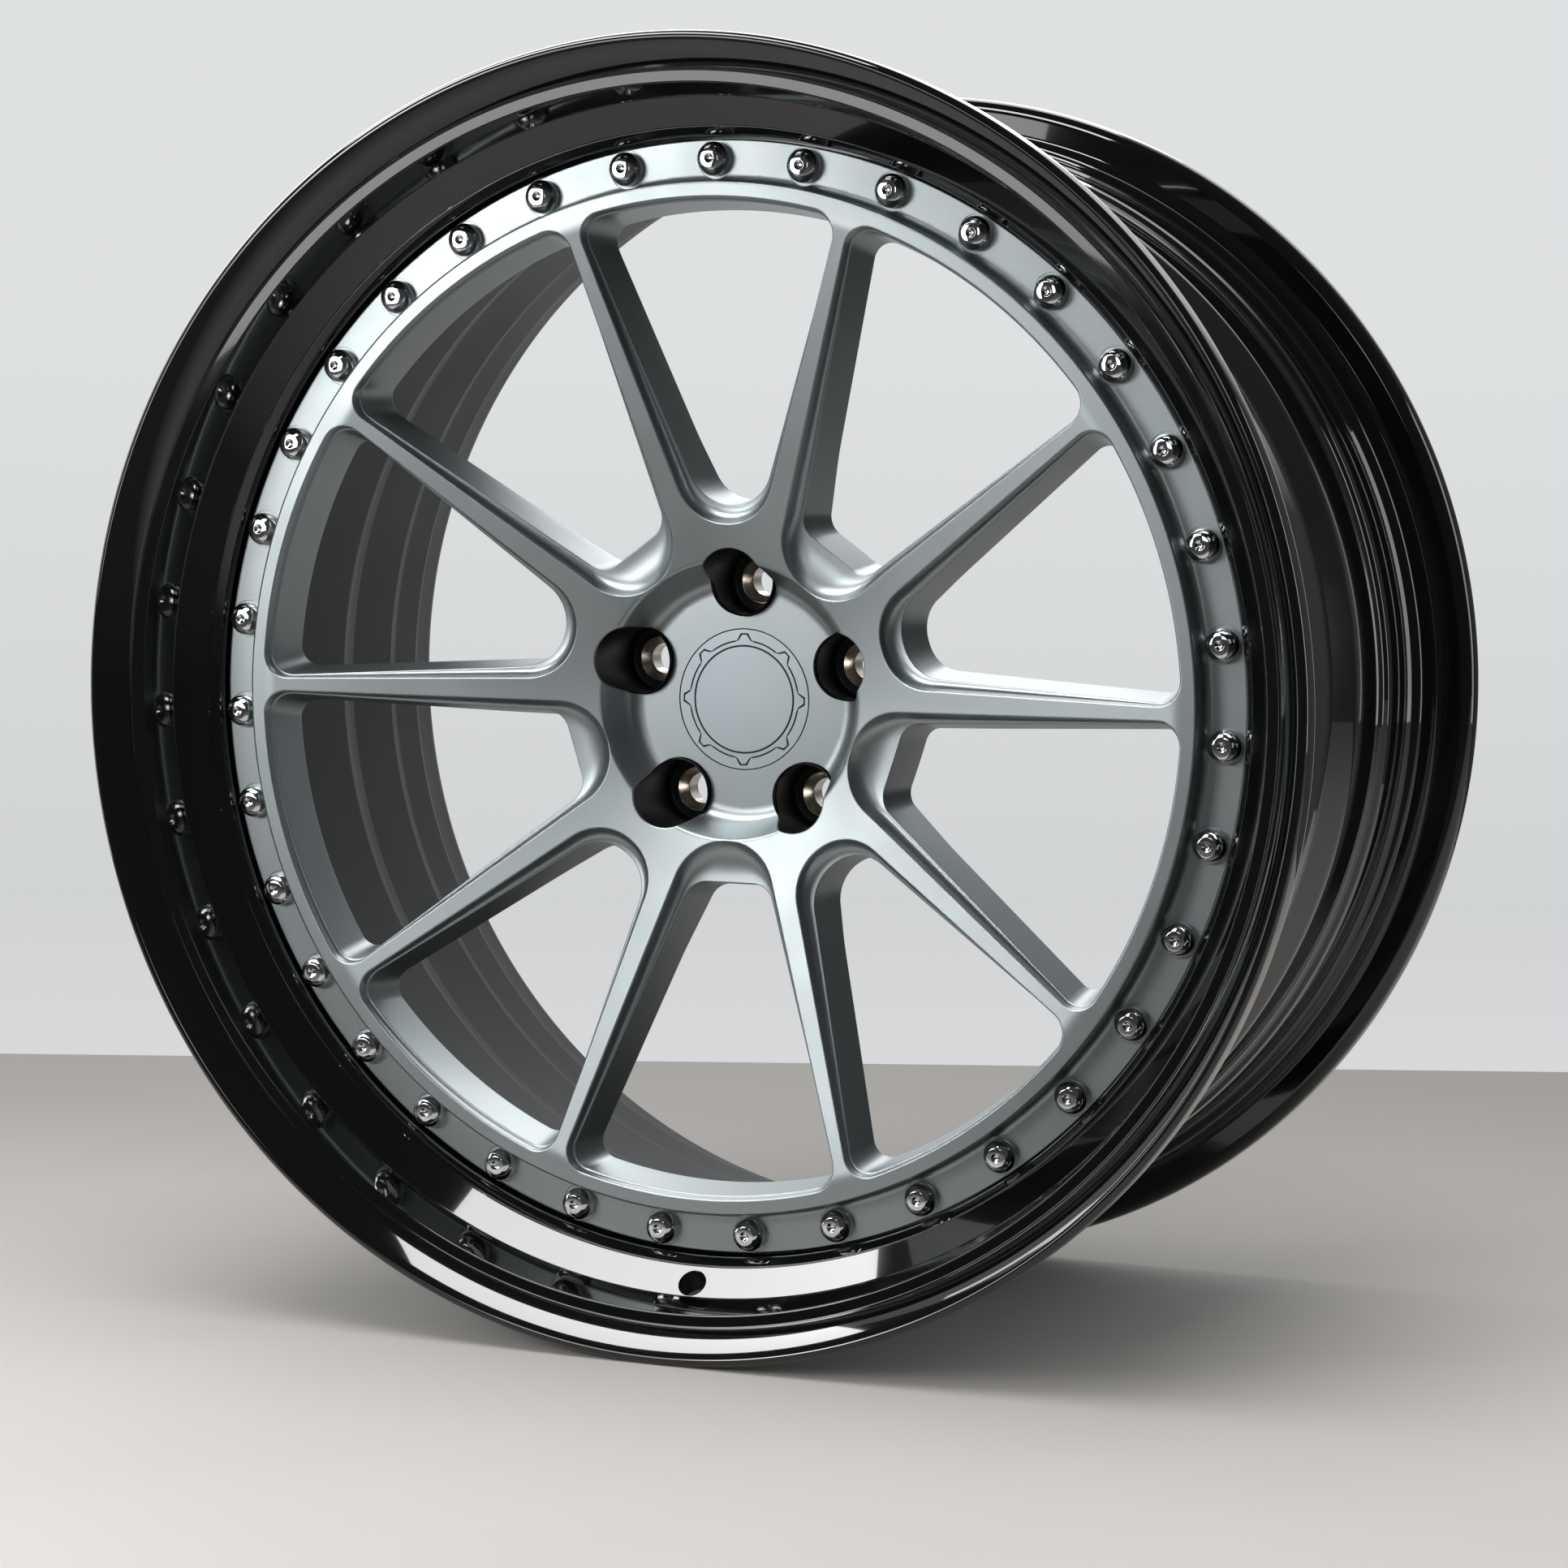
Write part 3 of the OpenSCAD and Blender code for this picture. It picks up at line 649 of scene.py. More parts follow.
def valve_hole(skin, rows):
    """Hole through the cone at the bottom of the lip, with a broken edge in front and a spot face on
    the tyre side. Returns the gaps to leave in the turned grid."""
    steps = 5
    pitch = 360.0 / LIP_TURNS
    centre, into = VALVE_AT, VALVE_WAY
    along = np.array([-into[1], into[0]])
    slope = unit(CONE_TOP - CONE_END)
    face = np.array([slope[1], -slope[0]])
    phi = np.radians(np.arange(48) * 7.5)
    section = rows[:, :2]
    run = np.concatenate([[0], np.cumsum(np.hypot(*(section[1:] - section[:-1]).T))])

    def at(radius, depth):
        """Points round the hole: across X, along the cone and depth into the metal, then (r, z)."""
        up = np.outer(radius * np.sin(phi), along)
        flat = centre + up + np.multiply.outer(depth * np.ones_like(phi), into)
        x = radius * np.cos(phi)
        return np.stack([x, -flat[:, 0], flat[:, 1]], -1)

    def polar(p):
        return np.hypot(p[:, 0], p[:, 1]), p[:, 2]

    def front_depth(radius):
        d = np.zeros(len(phi))
        for _ in range(6):
            r, z = polar(at(radius, d))
            d -= ((r - CONE_END[0]) * face[0] + (z - CONE_END[1]) * face[1]) / (face @ into)
        return d

    def tyre_depth(radius):
        low, high = np.full(len(phi), 4.7), np.full(len(phi), 26.0)
        for _ in range(40):
            mid = (low + high) / 2
            r, z = polar(at(radius, mid))
            solid = inside(section[:-1], np.stack([r, z], -1))
            low, high = np.where(solid, mid, low), np.where(solid, high, mid)
        return low

    def to_plan(p, first, last):
        """(across, run along the section) of points on the turned surface."""
        r, z = polar(p)
        q = np.stack([r, z], -1)
        a, b = section[first:last], section[first + 1:last + 1]
        ab = b - a
        length = np.maximum((ab ** 2).sum(1), 1e-12)
        t = np.clip(((q[:, None] - a) * ab).sum(-1) / length, 0, 1)
        gap = np.hypot(*np.moveaxis(a + t[..., None] * ab - q[:, None], -1, 0))
        best = gap.argmin(1)
        v = run[first:last][best] + t[np.arange(len(q)), best] * np.sqrt(length[best])
        theta = np.degrees(np.arctan2(p[:, 1], p[:, 0])) + 90
        return np.stack([theta * 4, v], -1)

    def from_plan(q):
        theta = np.radians(q[:, 0] / 4 - 90)
        r, z, nr, nz = [np.interp(q[:, 1], run, rows[:, k]) for k in range(4)]
        c, s = np.cos(theta), np.sin(theta)
        return np.stack([r * c, r * s, z], -1), unit(np.stack([nr * c, nr * s, nz], -1))

    def patch(first, last, ring, ring_points):
        grid_u = np.arange(-steps, steps + 1) * pitch * 4
        v = run[first:last + 1]
        keep_v = v[np.concatenate([[True], np.diff(v) > 1e-7])]
        side = [np.stack([np.full(len(keep_v), u), keep_v], -1) for u in (grid_u[0], grid_u[-1])]
        low = np.stack([grid_u[1:-1], np.full(len(grid_u) - 2, keep_v[0])], -1)
        high = low[::-1].copy()
        high[:, 1] = keep_v[-1]
        loop = np.concatenate([low, side[1], high, side[0][::-1]])
        extra = np.stack([a.ravel() for a in np.meshgrid(grid_u[1:-1], keep_v[1:-1])], -1)
        if len(extra):
            extra = extra[~inside(ring, extra) & clear_of(ring, extra, np.full(len(extra), 0.4))]
        xy, tris = fill(loop, extra, [ring])
        p, n = from_plan(xy)
        for q, real in zip(ring, ring_points):
            p[np.hypot(*(xy - q).T).argmin()] = real
        skin.faces(p[tris], n[tris])

    axis = np.array([0, -into[0], into[1]])
    across = np.stack([np.cos(phi), -np.sin(phi) * along[0], np.sin(phi) * along[1]], -1)
    edge = 0.5
    turns = np.linspace(0, math.pi / 2, 5)
    top = [(VALVE_R + edge * (1 - math.sin(f)), edge * (1 - math.cos(f)), f) for f in turns]
    p = [at(r, front_depth(r) + d) for r, d, f in top] + [at(VALVE_R, 3.2), at(VALVE_R, VALVE_DEEP)]
    n = [-across * math.sin(f) - axis * math.cos(f) for r, d, f in top] + [-across, -across]
    i0 = int(np.argmax(np.where(np.abs(section[:-1, 0] - centre[0]) < 6, np.diff(run), 0)))
    ring = to_plan(p[0], i0, i0 + 1)
    patch(i0, i0 + 1, ring, p[0])
    n[0] = from_plan(ring)[1]
    skin.grid(np.stack(p), np.stack(n), loop=True)
    step = np.stack([at(VALVE_R, VALVE_DEEP), at(VALVE_SPOT, VALVE_DEEP)])
    skin.grid(step, np.broadcast_to(axis, step.shape), loop=True)
    deep = tyre_depth(VALVE_SPOT)
    wall = [at(VALVE_SPOT, VALVE_DEEP + (deep - VALVE_DEEP) * q) for q in (0, 0.5, 1)]
    skin.grid(np.stack(wall), np.broadcast_to(-across, (3, len(phi), 3)), loop=True)
    j0 = int(np.argmax(section[:, 1] * (section[:, 0] > 270)))
    r, z = polar(wall[-1])
    outer = np.arange(len(rows)) > j0
    first = int(np.where(outer & (section[:, 1] > z.max() + 1.0))[0][-1])
    last = int(np.where(outer & (section[:, 1] < z.min() - 1.0))[0][0])
    patch(first, last, to_plan(wall[-1], first, last), wall[-1])
    return [(i0, i0 + 1, -steps, steps), (first, last, -steps, steps)]


def outer_lip():
    skin = Skin()
    rows = profile(LIP_POINTS, closed_side(LIP_POINTS), closed=True)
    gaps = valve_hole(skin, rows)
    lathe(skin, rows, LIP_TURNS, gaps=gaps)
    return skin


BARREL_POINTS = [
    (215.6, -18, 0.3), (215.6, -13, 0.3), (235.5, -13, 0.3), (237.5, -15, 0.8), (237.5, -103, 14),
    (244.2, -122, 14), (244.2, -160, 4), (245.2, -163, 3), (247.0, -165.5, 2), (247.6, -169, 3),
    (248.0, -193.5, 4), (249.8, -196.5, 2), *arc((250.8, -199.5), 2.8, 70, -20, 9),
    (252.3, -202.7, 3), *arc((257.5, -218.5), 3.5, 180, 270, 10), *arc((264.8, -228), 6, 90, 20, 9),
    *arc((267.8, -232.1), 3, 0, -90, 9), (264.0, -235.1, 1.0), (261.6, -234.3, 1.5),
    (260.2, -232.5, 1.0), *arc((261.7, -214.1), 12, 240, 180, 9), (247.8, -200, 5), (243.5, -192, 5),
    (242.9, -169, 6), (239.7, -160, 6), (239.7, -122, 10), (233.0, -104, 10), (233.0, -18, 1.2)]


def inner_barrel():
    skin = Skin()
    rows = profile(BARREL_POINTS, closed_side(BARREL_POINTS), closed=True)
    rear = int(rows[:, 1].argmin())
    lathe(skin, rows[:rear + 1], 480, 0)
    lathe(skin, rows[rear:], 480, 1)
    return skin


def sealant_ring():
    skin = Skin()
    points = [
        (235.8, -13, 0), (237.5, -11.3, 0.3), (238.4, -11.9, 0.5), (238.4, -14.1, 0.5), (237.5, -14.7, 0.3)]
    lathe(skin, profile(points, closed_side(points), closed=True), 360)
    return skin


# Fasteners
RING_INPUTS = {"Piece": "NodeSocketObject", "Count": "NodeSocketInt", "Radius": "NodeSocketFloat",
               "Spin": "NodeSocketFloat", "Material": "NodeSocketMaterial"}


def ring_of(piece, count, radius, spin, material, name):
    """Instances a piece on a circle about the wheel's axis with geometry nodes and returns one plain
    mesh object. spin turns each piece by a seeded random angle (radians) about its own axis."""
    tree = bpy.data.node_groups.new(name, "GeometryNodeTree")
    face = tree.interface
    face.new_socket("Geometry", in_out="OUTPUT", socket_type="NodeSocketGeometry")
    inputs = {}
    for label, kind in RING_INPUTS.items():
        inputs[label] = face.new_socket(label, in_out="INPUT", socket_type=kind).identifier
    add = tree.nodes.new
    source, out = add("NodeGroupInput"), add("NodeGroupOutput")
    circle, turn = add("GeometryNodeMeshCircle"), add("GeometryNodeTransform")
    piece_in, place = add("GeometryNodeObjectInfo"), add("GeometryNodeInstanceOnPoints")
    chance, join = add("FunctionNodeRandomValue"), add("ShaderNodeCombineXYZ")
    real, paint = add("GeometryNodeRealizeInstances"), add("GeometryNodeSetMaterial")
    turn.inputs["Rotation"].default_value = (math.radians(90), math.radians(-90), 0)
    chance.data_type = "FLOAT"
    chance.inputs["Seed"].default_value = 7
    link = tree.links.new
    link(source.outputs["Count"], circle.inputs["Vertices"])
    link(source.outputs["Radius"], circle.inputs["Radius"])
    link(circle.outputs["Mesh"], turn.inputs["Geometry"])
    link(turn.outputs["Geometry"], place.inputs["Points"])
    link(source.outputs["Piece"], piece_in.inputs["Object"])
    link(piece_in.outputs["Geometry"], place.inputs["Instance"])
    link(source.outputs["Spin"], chance.inputs["Max"])
    link(chance.outputs["Value"], join.inputs["Y"])
    link(join.outputs["Vector"], place.inputs["Rotation"])
    link(place.outputs["Instances"], real.inputs["Geometry"])
    link(real.outputs["Geometry"], paint.inputs["Geometry"])
    link(source.outputs["Material"], paint.inputs["Material"])
    link(paint.outputs["Geometry"], out.inputs["Geometry"])
    carrier = bpy.data.objects.new(name + "_carrier", bpy.data.meshes.new(name + "_carrier"))
    bpy.context.scene.collection.objects.link(carrier)
    modifier = carrier.modifiers.new("ring", "NODES")
    modifier.node_group = tree
    values = {"Piece": piece, "Count": count, "Radius": radius / 1000, "Spin": spin, "Material": material}
    for label, value in values.items():
        modifier[inputs[label]] = value
    depsgraph = bpy.context.evaluated_depsgraph_get()
    mesh = bpy.data.meshes.new_from_object(carrier.evaluated_get(depsgraph), depsgraph=depsgraph)
    mesh.name = name
    for obj in (carrier, piece):
        bpy.data.objects.remove(obj)
    obj = bpy.data.objects.new(name, mesh)
    bpy.context.scene.collection.objects.link(obj)
    return obj


def smooth_piece(skin, name, sharp=30):
    """A piece for ring_of: plain shading with sharp edges instead of stored normals."""
    obj = skin.build(name, [])
    flat = bpy.data.meshes.new(name + "_plain")
    flat.from_pydata([v.co[:] for v in obj.data.vertices], [], [p.vertices[:] for p in obj.data.polygons])
    flat.polygons.foreach_set("use_smooth", [True] * len(flat.polygons))
    flat.set_sharp_from_angle(angle=math.radians(sharp))
    bpy.data.objects.remove(obj)
    obj = bpy.data.objects.new(name, flat)
    bpy.context.scene.collection.objects.link(obj)
    return obj


def bolt_piece():
    """Head with a rounded shoulder and a dished flat top, and the shank end that shows behind the nut."""
    skin = Skin()
    dome = [(2.6 + 4.4 * math.cos(t), 2.2 + 5.0 * math.sin(t)) for t in np.linspace(0, math.pi / 3, 9)]
    head = [
        (4.0, -0.3), (6.75, -0.3, 0.25), (7.0, 0.6), *dome, (3.95, 7.1, 0.7), (2.05, 7.28, 0.25),
        (0.9, 6.35, 0.6), (0, 6.2)]
    lathe(skin, profile(head, 1.0, step=12), 64)
    end = [(0, -29.1), (3.1, -29.1, 0.2), (4.0, -28.2, 0.2), (4.0, -27.0)]
    lathe(skin, profile(end, 1.0, step=15), 32)
    return smooth_piece(skin, "bolt_piece", 50)


def washer_piece():
    skin = Skin()
    points = [(4.2, -18.0, 0.15), (4.2, -19.6, 0.15), (7.3, -19.6, 0.35), (7.3, -18.0, 0.35)]
    lathe(skin, profile(points, closed_side(points), closed=True, step=30), 48)
    return smooth_piece(skin, "washer_piece", 50)


def nut_piece():
    """Hexagon nut: flats meet the turned chamfers in the usual arcs."""
    skin = Skin()
    z0, z1 = -19.6, -27.6
    a = np.radians(np.arange(0, 360, 5))
    flat = 6.5 / np.cos((a + math.pi / 6) % (math.pi / 3) - math.pi / 6)
    flat = np.minimum(flat, 7.38)

    def chamfer(r0, z, way):
        return z + way * np.maximum(0, flat - r0) * math.tan(math.radians(28))

    c, s = np.cos(a), np.sin(a)

    def ring(r, z):
        return np.stack([r * c, r * s, z + 0 * a], -1)

    p = np.stack([
        ring(4.05, z0), ring(6.3, z0), ring(np.minimum(flat, 6.45), z0),
        ring(flat, chamfer(6.9, z0, -1)), ring(flat, (z0 + z1) / 2), ring(flat, chamfer(6.3, z1, 1)),
        ring(6.2, z1), ring(4.5, z1), ring(4.0, z1 + 0.5)])
    middle = np.array([0, 0, (z0 + z1) / 2])
    n = unit(p - middle)
    n[0] = n[1] = (0, 0, 1)
    n[-1] = n[-2] = (0, 0, -1)
    skin.grid(p, n, loop=True)
    return smooth_piece(skin, "nut_piece", 22)


# Seats, cap and spring
def lug_seat(k):
    skin = Skin()
    a = math.radians(90 + 72 * k)
    cone_low = SEAT_Z - 2.9 / math.tan(math.radians(30))
    points = [
        (6.5, MOUNT_Z, 0.25), (8.4, MOUNT_Z, 0.4), (8.4, SEAT_Z - 4.1, 0.1), (9.9, SEAT_Z - 4.1, 0.1),
        (9.9, SEAT_Z, 0.4), (9.4, SEAT_Z, 0.12), (6.5, cone_low, 0.6)]
    lathe(skin, profile(points, closed_side(points), closed=True, step=15), 96)
    for part, (p, n, slot) in enumerate(skin.parts):
        skin.parts[part] = (p + np.array([LUG_R * math.cos(a), LUG_R * math.sin(a), 0]), n, slot)
    return skin


CAP_R = 29.75
CAP_Z = PAD_Z
GROOVE = 0.45


def toothed(grow):
    """Outline of the eight toothed line on the cap, moved out by grow."""
    pts = []
    base = math.atan2(0.105 * CAP_R + grow, 0.84 * CAP_R)
    ring = 0.84 * CAP_R + grow
    for k in range(8):
        mid = math.radians(90 + 45 * k)
        gap = np.linspace(base - math.pi / 4, -base, 9)[1:-1]
        local = [(ring * math.cos(t), ring * math.sin(t)) for t in gap]
        tip_x, tip_y = 0.935 * CAP_R + grow, 0.045 * CAP_R + grow
        corner = (0.84 * CAP_R, 0.105 * CAP_R + grow)
        local += [(corner[0], -corner[1]), (tip_x, -tip_y), (tip_x, tip_y), corner]
        c, s = math.cos(mid), math.sin(mid)
        pts += [(x * c - y * s, x * s + y * c) for x, y in local]
    return np.array(pts)


def round_line(radius):
    t = np.radians(np.arange(0, 360, 3.0))
    return np.stack([radius * np.cos(t), radius * np.sin(t)], -1)


def centre_cap():
    """Flat cap with two engraved lines, a thin skirt split by slots and the groove of its spring ring."""
    skin = Skin()
    e = 0.1

    def band(shape, way):
        """Edge and wall of a groove, from the face down. way 1 puts the groove inside the outline.
        Returns its upper and lower outlines."""
        rows, normals = [], []
        for f in np.linspace(0, math.pi / 2, 3):
            rows.append((shape(way * (e - e * math.sin(f))), -e * (1 - math.cos(f)), f))
        rows.append((shape(0), -GROOVE, math.pi / 2))
        p = np.stack([np.concatenate([xy, np.full((len(xy), 1), CAP_Z + z)], -1) for xy, z, f in rows])
        out = shape(0.05) - shape(0)
        out = unit(np.concatenate([out, np.zeros((len(out), 1))], -1)) * -way
        for xy, z, f in rows:
            normals.append(out * math.sin(f) + np.array([0, 0, math.cos(f)]))
        skin.grid(p, np.stack(normals), 1, loop=True)
        return p[0, :, :2], p[-1, :, :2]

    def flat(loop, holes, z, slot=0):
        xy, tris = fill(loop, np.zeros((0, 2)), holes)
        p = np.concatenate([xy, np.full((len(xy), 1), z)], -1)
        skin.faces(p[tris], np.broadcast_to(np.array([0, 0, 1.0]), p[tris].shape), slot)

    # the groove edges, walls and floors take slot 1: near-black paint as painted shade in the engraved
    # lines
    tooth_top, tooth_low = band(lambda g: toothed(0.25 + g), 1)
    tooth_in_top, tooth_in_low = band(lambda g: toothed(-0.25 + g), -1)
    line_top, line_low = band(lambda g: round_line(0.775 * CAP_R + g), 1)
    line_in_top, line_in_low = band(lambda g: round_line(0.775 * CAP_R - 0.6 + g), -1)
    rim = round_line(CAP_R - 0.45)
    flat(rim, [tooth_top], CAP_Z)
    flat(tooth_low, [tooth_in_low], CAP_Z - GROOVE, 1)
    flat(tooth_in_top, [line_top], CAP_Z)
    flat(line_low, [line_in_low], CAP_Z - GROOVE, 1)
    flat(line_in_top, [], CAP_Z)
    skirt_low = PAD_Z - 3.2 - 7 - 2.9
    edge = [(CAP_R - 0.45, CAP_Z), (CAP_R, CAP_Z, 0.15), (CAP_R, CAP_Z - 3.2, 0.2), (27.65, CAP_Z - 3.2)]
    p, n = turned(profile(edge, -1.0, step=15), np.arange(0, 360, 3.0))
    skin.grid(p, n, loop=True)
    skin.grid(*turned(profile([(25.05, CAP_Z - 2.8), (0.0, CAP_Z - 2.8)], -1.0), np.arange(0, 363, 3.0)))
    spring = PAD_Z - 10.2
    wall = [(27.65, CAP_Z - 3.2), (27.65, spring + 0.85), (26.35, spring + 0.85), (26.35, spring - 0.85),
            (27.65, spring - 0.85), (27.65, skirt_low, 0.4), (25.05, skirt_low, 0.4), (25.05, CAP_Z - 2.8)]
    rows = profile(wall, -1.0, step=20)
    for k in range(6):
        angles = 60 * k + np.linspace(3.2, 56.8, 19)
        p, n = turned(rows, angles)
        skin.grid(p, n)
        for a, way in ((angles[0], -1), (angles[-1], 1)):
            t = math.radians(a)
            loop = np.array([(r, z) for r, z, nr, nz in rows])
            keep = np.concatenate([[True], np.hypot(*(loop[1:] - loop[:-1]).T) > 1e-6])
            xy, tris = fill(loop[keep], np.zeros((0, 2)))
            cut = np.stack([xy[:, 0] * math.cos(t), xy[:, 0] * math.sin(t), xy[:, 1]], -1)
            side = np.array([-math.sin(t), math.cos(t), 0]) * way
            skin.faces(cut[tris], np.broadcast_to(side, cut[tris].shape))
    return skin


def cap_spring_ring():
    skin = Skin()
    a = np.radians(np.linspace(3.1, 356.9, 181))
    b = np.radians(np.arange(0, 360, 18.0))
    r = 27.55 + 0.8 * np.cos(b)
    z = PAD_Z - 10.2 + 0.8 * np.sin(b)
    p = np.stack([r[None] * np.cos(a)[:, None], r[None] * np.sin(a)[:, None], z[None] + 0 * a[:, None]], -1)
    n = np.stack([np.cos(b)[None] * np.cos(a)[:, None], np.cos(b)[None] * np.sin(a)[:, None],
                  np.sin(b)[None] + 0 * a[:, None]], -1)
    skin.grid(p, n, loop=True)
    for i, way in ((0, -1), (-1, 1)):
        centre = p[i].mean(0)
        side = np.array([-math.sin(a[i]), math.cos(a[i]), 0]) * way
        fan = np.stack([np.broadcast_to(centre, p[i].shape), p[i], np.roll(p[i], -1, 0)], 1)
        skin.faces(fan, np.broadcast_to(side, fan.shape))
    return skin


# Materials
def srgb(text):
    """Linear colour of a written one."""
    parts = [int(text[i:i + 2], 16) / 255 for i in (0, 2, 4)]
    return (*[c / 12.92 if c <= 0.04045 else ((c + 0.055) / 1.055) ** 2.4 for c in parts], 1.0)


def add_node(tree, kind, inputs=None, **settings):
    """Adds a node, sets its own settings, then its inputs: a socket is linked and anything else is set."""
    node = tree.nodes.new(kind)
    for name, value in settings.items():
        setattr(node, name, value)
    for key, value in (inputs or {}).items():
        if isinstance(value, bpy.types.NodeSocket):
            tree.links.new(value, node.inputs[key])
        else:
            node.inputs[key].default_value = value
    return node


def surface(name, constants, colours, tone, rough, grain):
    """Painted or bare metal. colours are two hex colours mixed by clouds of tone mm, rough is (low,
    high) over clouds of rough[2] mm, and grain is a list of (size in mm, height in mm) bumps."""
    made = bpy.data.materials.new(name)
    made.use_nodes = True
    tree = made.node_tree
    shader = tree.nodes["Principled BSDF"]
    for key, value in constants.items():
        shader.inputs[key].default_value = value
    place = add_node(tree, "ShaderNodeTexCoord").outputs["Object"]

    def clouds(size, detail=2.0):
        values = {"Vector": place, "Scale": 1000 / size, "Detail": detail}
        return add_node(tree, "ShaderNodeTexNoise", values).outputs["Fac"]

    mix = add_node(tree, "ShaderNodeMix", {
        "Factor": clouds(tone), "A": srgb(colours[0]), "B": srgb(colours[1])}, data_type="RGBA")
    tree.links.new(mix.outputs["Result"], shader.inputs["Base Color"])
    spread = add_node(tree, "ShaderNodeMapRange", {
        "Value": clouds(rough[2], 3.0), "From Min": 0.3, "From Max": 0.7,
        "To Min": rough[0], "To Max": rough[1]})
    tree.links.new(spread.outputs["Result"], shader.inputs["Roughness"])
    normal = None
    for size, height in grain:
        values = {"Height": clouds(size), "Distance": height / 1000, "Strength": 1.0}
        if normal is not None:
            values["Normal"] = normal
        normal = add_node(tree, "ShaderNodeBump", values).outputs["Normal"]
    tree.links.new(normal, shader.inputs["Normal"])
    return made


# satin clear over bead blasted, tinted forged aluminium
DISC = surface(
    "satin_gunmetal", {"Metallic": 1.0, "Coat Weight": 0.15, "Coat Roughness": 0.35},
    ("989fa1", "a0a7a9"), 60, (0.37, 0.41, 25), [(0.5, 0.001)])
# the deep counterbores in dark satin, partly their own masked paint and partly painted shade of the deep
# holes; the same near-black paints the shade in the cap's engraved lines and in the gap round the cap
DARK_SATIN_AND_SHADE = surface(
    "dark_satin_and_painted_shade", {"Metallic": 0.6},
    ("1f2223", "26292a"), 12, (0.38, 0.45, 8), [(0.4, 0.004)])
# gloss black lacquer, with the slight orange peel of sprayed paint
GLOSS = surface(
    "gloss_black_lacquer", {"Coat Weight": 1.0, "Coat Roughness": 0.02, "Specular IOR Level": 0.2},
    ("070808", "090a0a"), 40, (0.05, 0.08, 30), [(2.5, 0.0012)])
# satin black inside of the barrel
INSIDE = surface(
    "satin_black_barrel", {"Specular IOR Level": 0.25},
    ("161819", "1a1c1d"), 60, (0.34, 0.4, 40), [(0.6, 0.006)])
CHROME = surface(
    "chromed_bolts", {"Metallic": 1.0},
    ("d2d4d6", "dadcde"), 8, (0.03, 0.06, 3), [(0.8, 0.0006)])
ZINC = surface(
    "zinc_plated_steel", {"Metallic": 1.0},
    ("b3b3ae", "c0c0ba"), 5, (0.25, 0.4, 2), [(0.3, 0.006)])
SEAT = surface(
    "turned_steel_seat", {"Metallic": 1.0},
    ("c9c2ba", "d6cfc6"), 6, (0.14, 0.24, 2), [(0.35, 0.003)])
SEALANT = surface(
    "black_sealant", {},
    ("191919", "202020"), 6, (0.5, 0.65, 4), [(1.5, 0.04)])
CAP = surface(
    "satin_gunmetal_cap", {"Metallic": 1.0, "Coat Weight": 0.15, "Coat Roughness": 0.35},
    ("9aa3a7", "a2abae"), 30, (0.37, 0.41, 20), [(0.45, 0.001)])


def put(obj, node):
    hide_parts(node)
    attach(obj, "root")


put(centre_disc().build("disc_skin", [DISC, DARK_SATIN_AND_SHADE]), "centre_disc")
put(outer_lip().build("lip_skin", [GLOSS]), "outer_lip")
put(inner_barrel().build("barrel_skin", [GLOSS, INSIDE]), "inner_barrel")
put(sealant_ring().build("sealant_skin", [SEALANT]), "sealant_ring")
put(ring_of(bolt_piece(), BOLTS, BOLT_R, 0.0, CHROME, "bolt_ring"), "assembly_bolts")
put(ring_of(washer_piece(), BOLTS, BOLT_R, 0.0, ZINC, "washer_ring"), "nut_washers")
put(ring_of(nut_piece(), BOLTS, BOLT_R, 1.05, ZINC, "nut_ring"), "assembly_nuts")
for k in range(LUGS):
    put(lug_seat(k).build(f"seat_skin_{k + 1}", [SEAT]), f"lug_seat_{k + 1}")
put(centre_cap().build("cap_skin", [CAP, DARK_SATIN_AND_SHADE]), "centre_cap")
put(cap_spring_ring().build("spring_skin", [ZINC]), "cap_spring_ring")


# Studio, in metres
FLOOR_Z = -0.2708
SIGHT = Vector((-0.3726, 0.9280, 0))
SIDE = Vector((0.9280, 0.3726, 0))
WALL_AT = 2.43


def stage_plane(name, corners, made):
    mesh = bpy.data.meshes.new(name)
    mesh.from_pydata(corners, [], [(0, 1, 2, 3)])
    mesh.materials.append(made)
    obj = bpy.data.objects.new(name, mesh)
    bpy.context.scene.collection.objects.link(obj)
    return obj


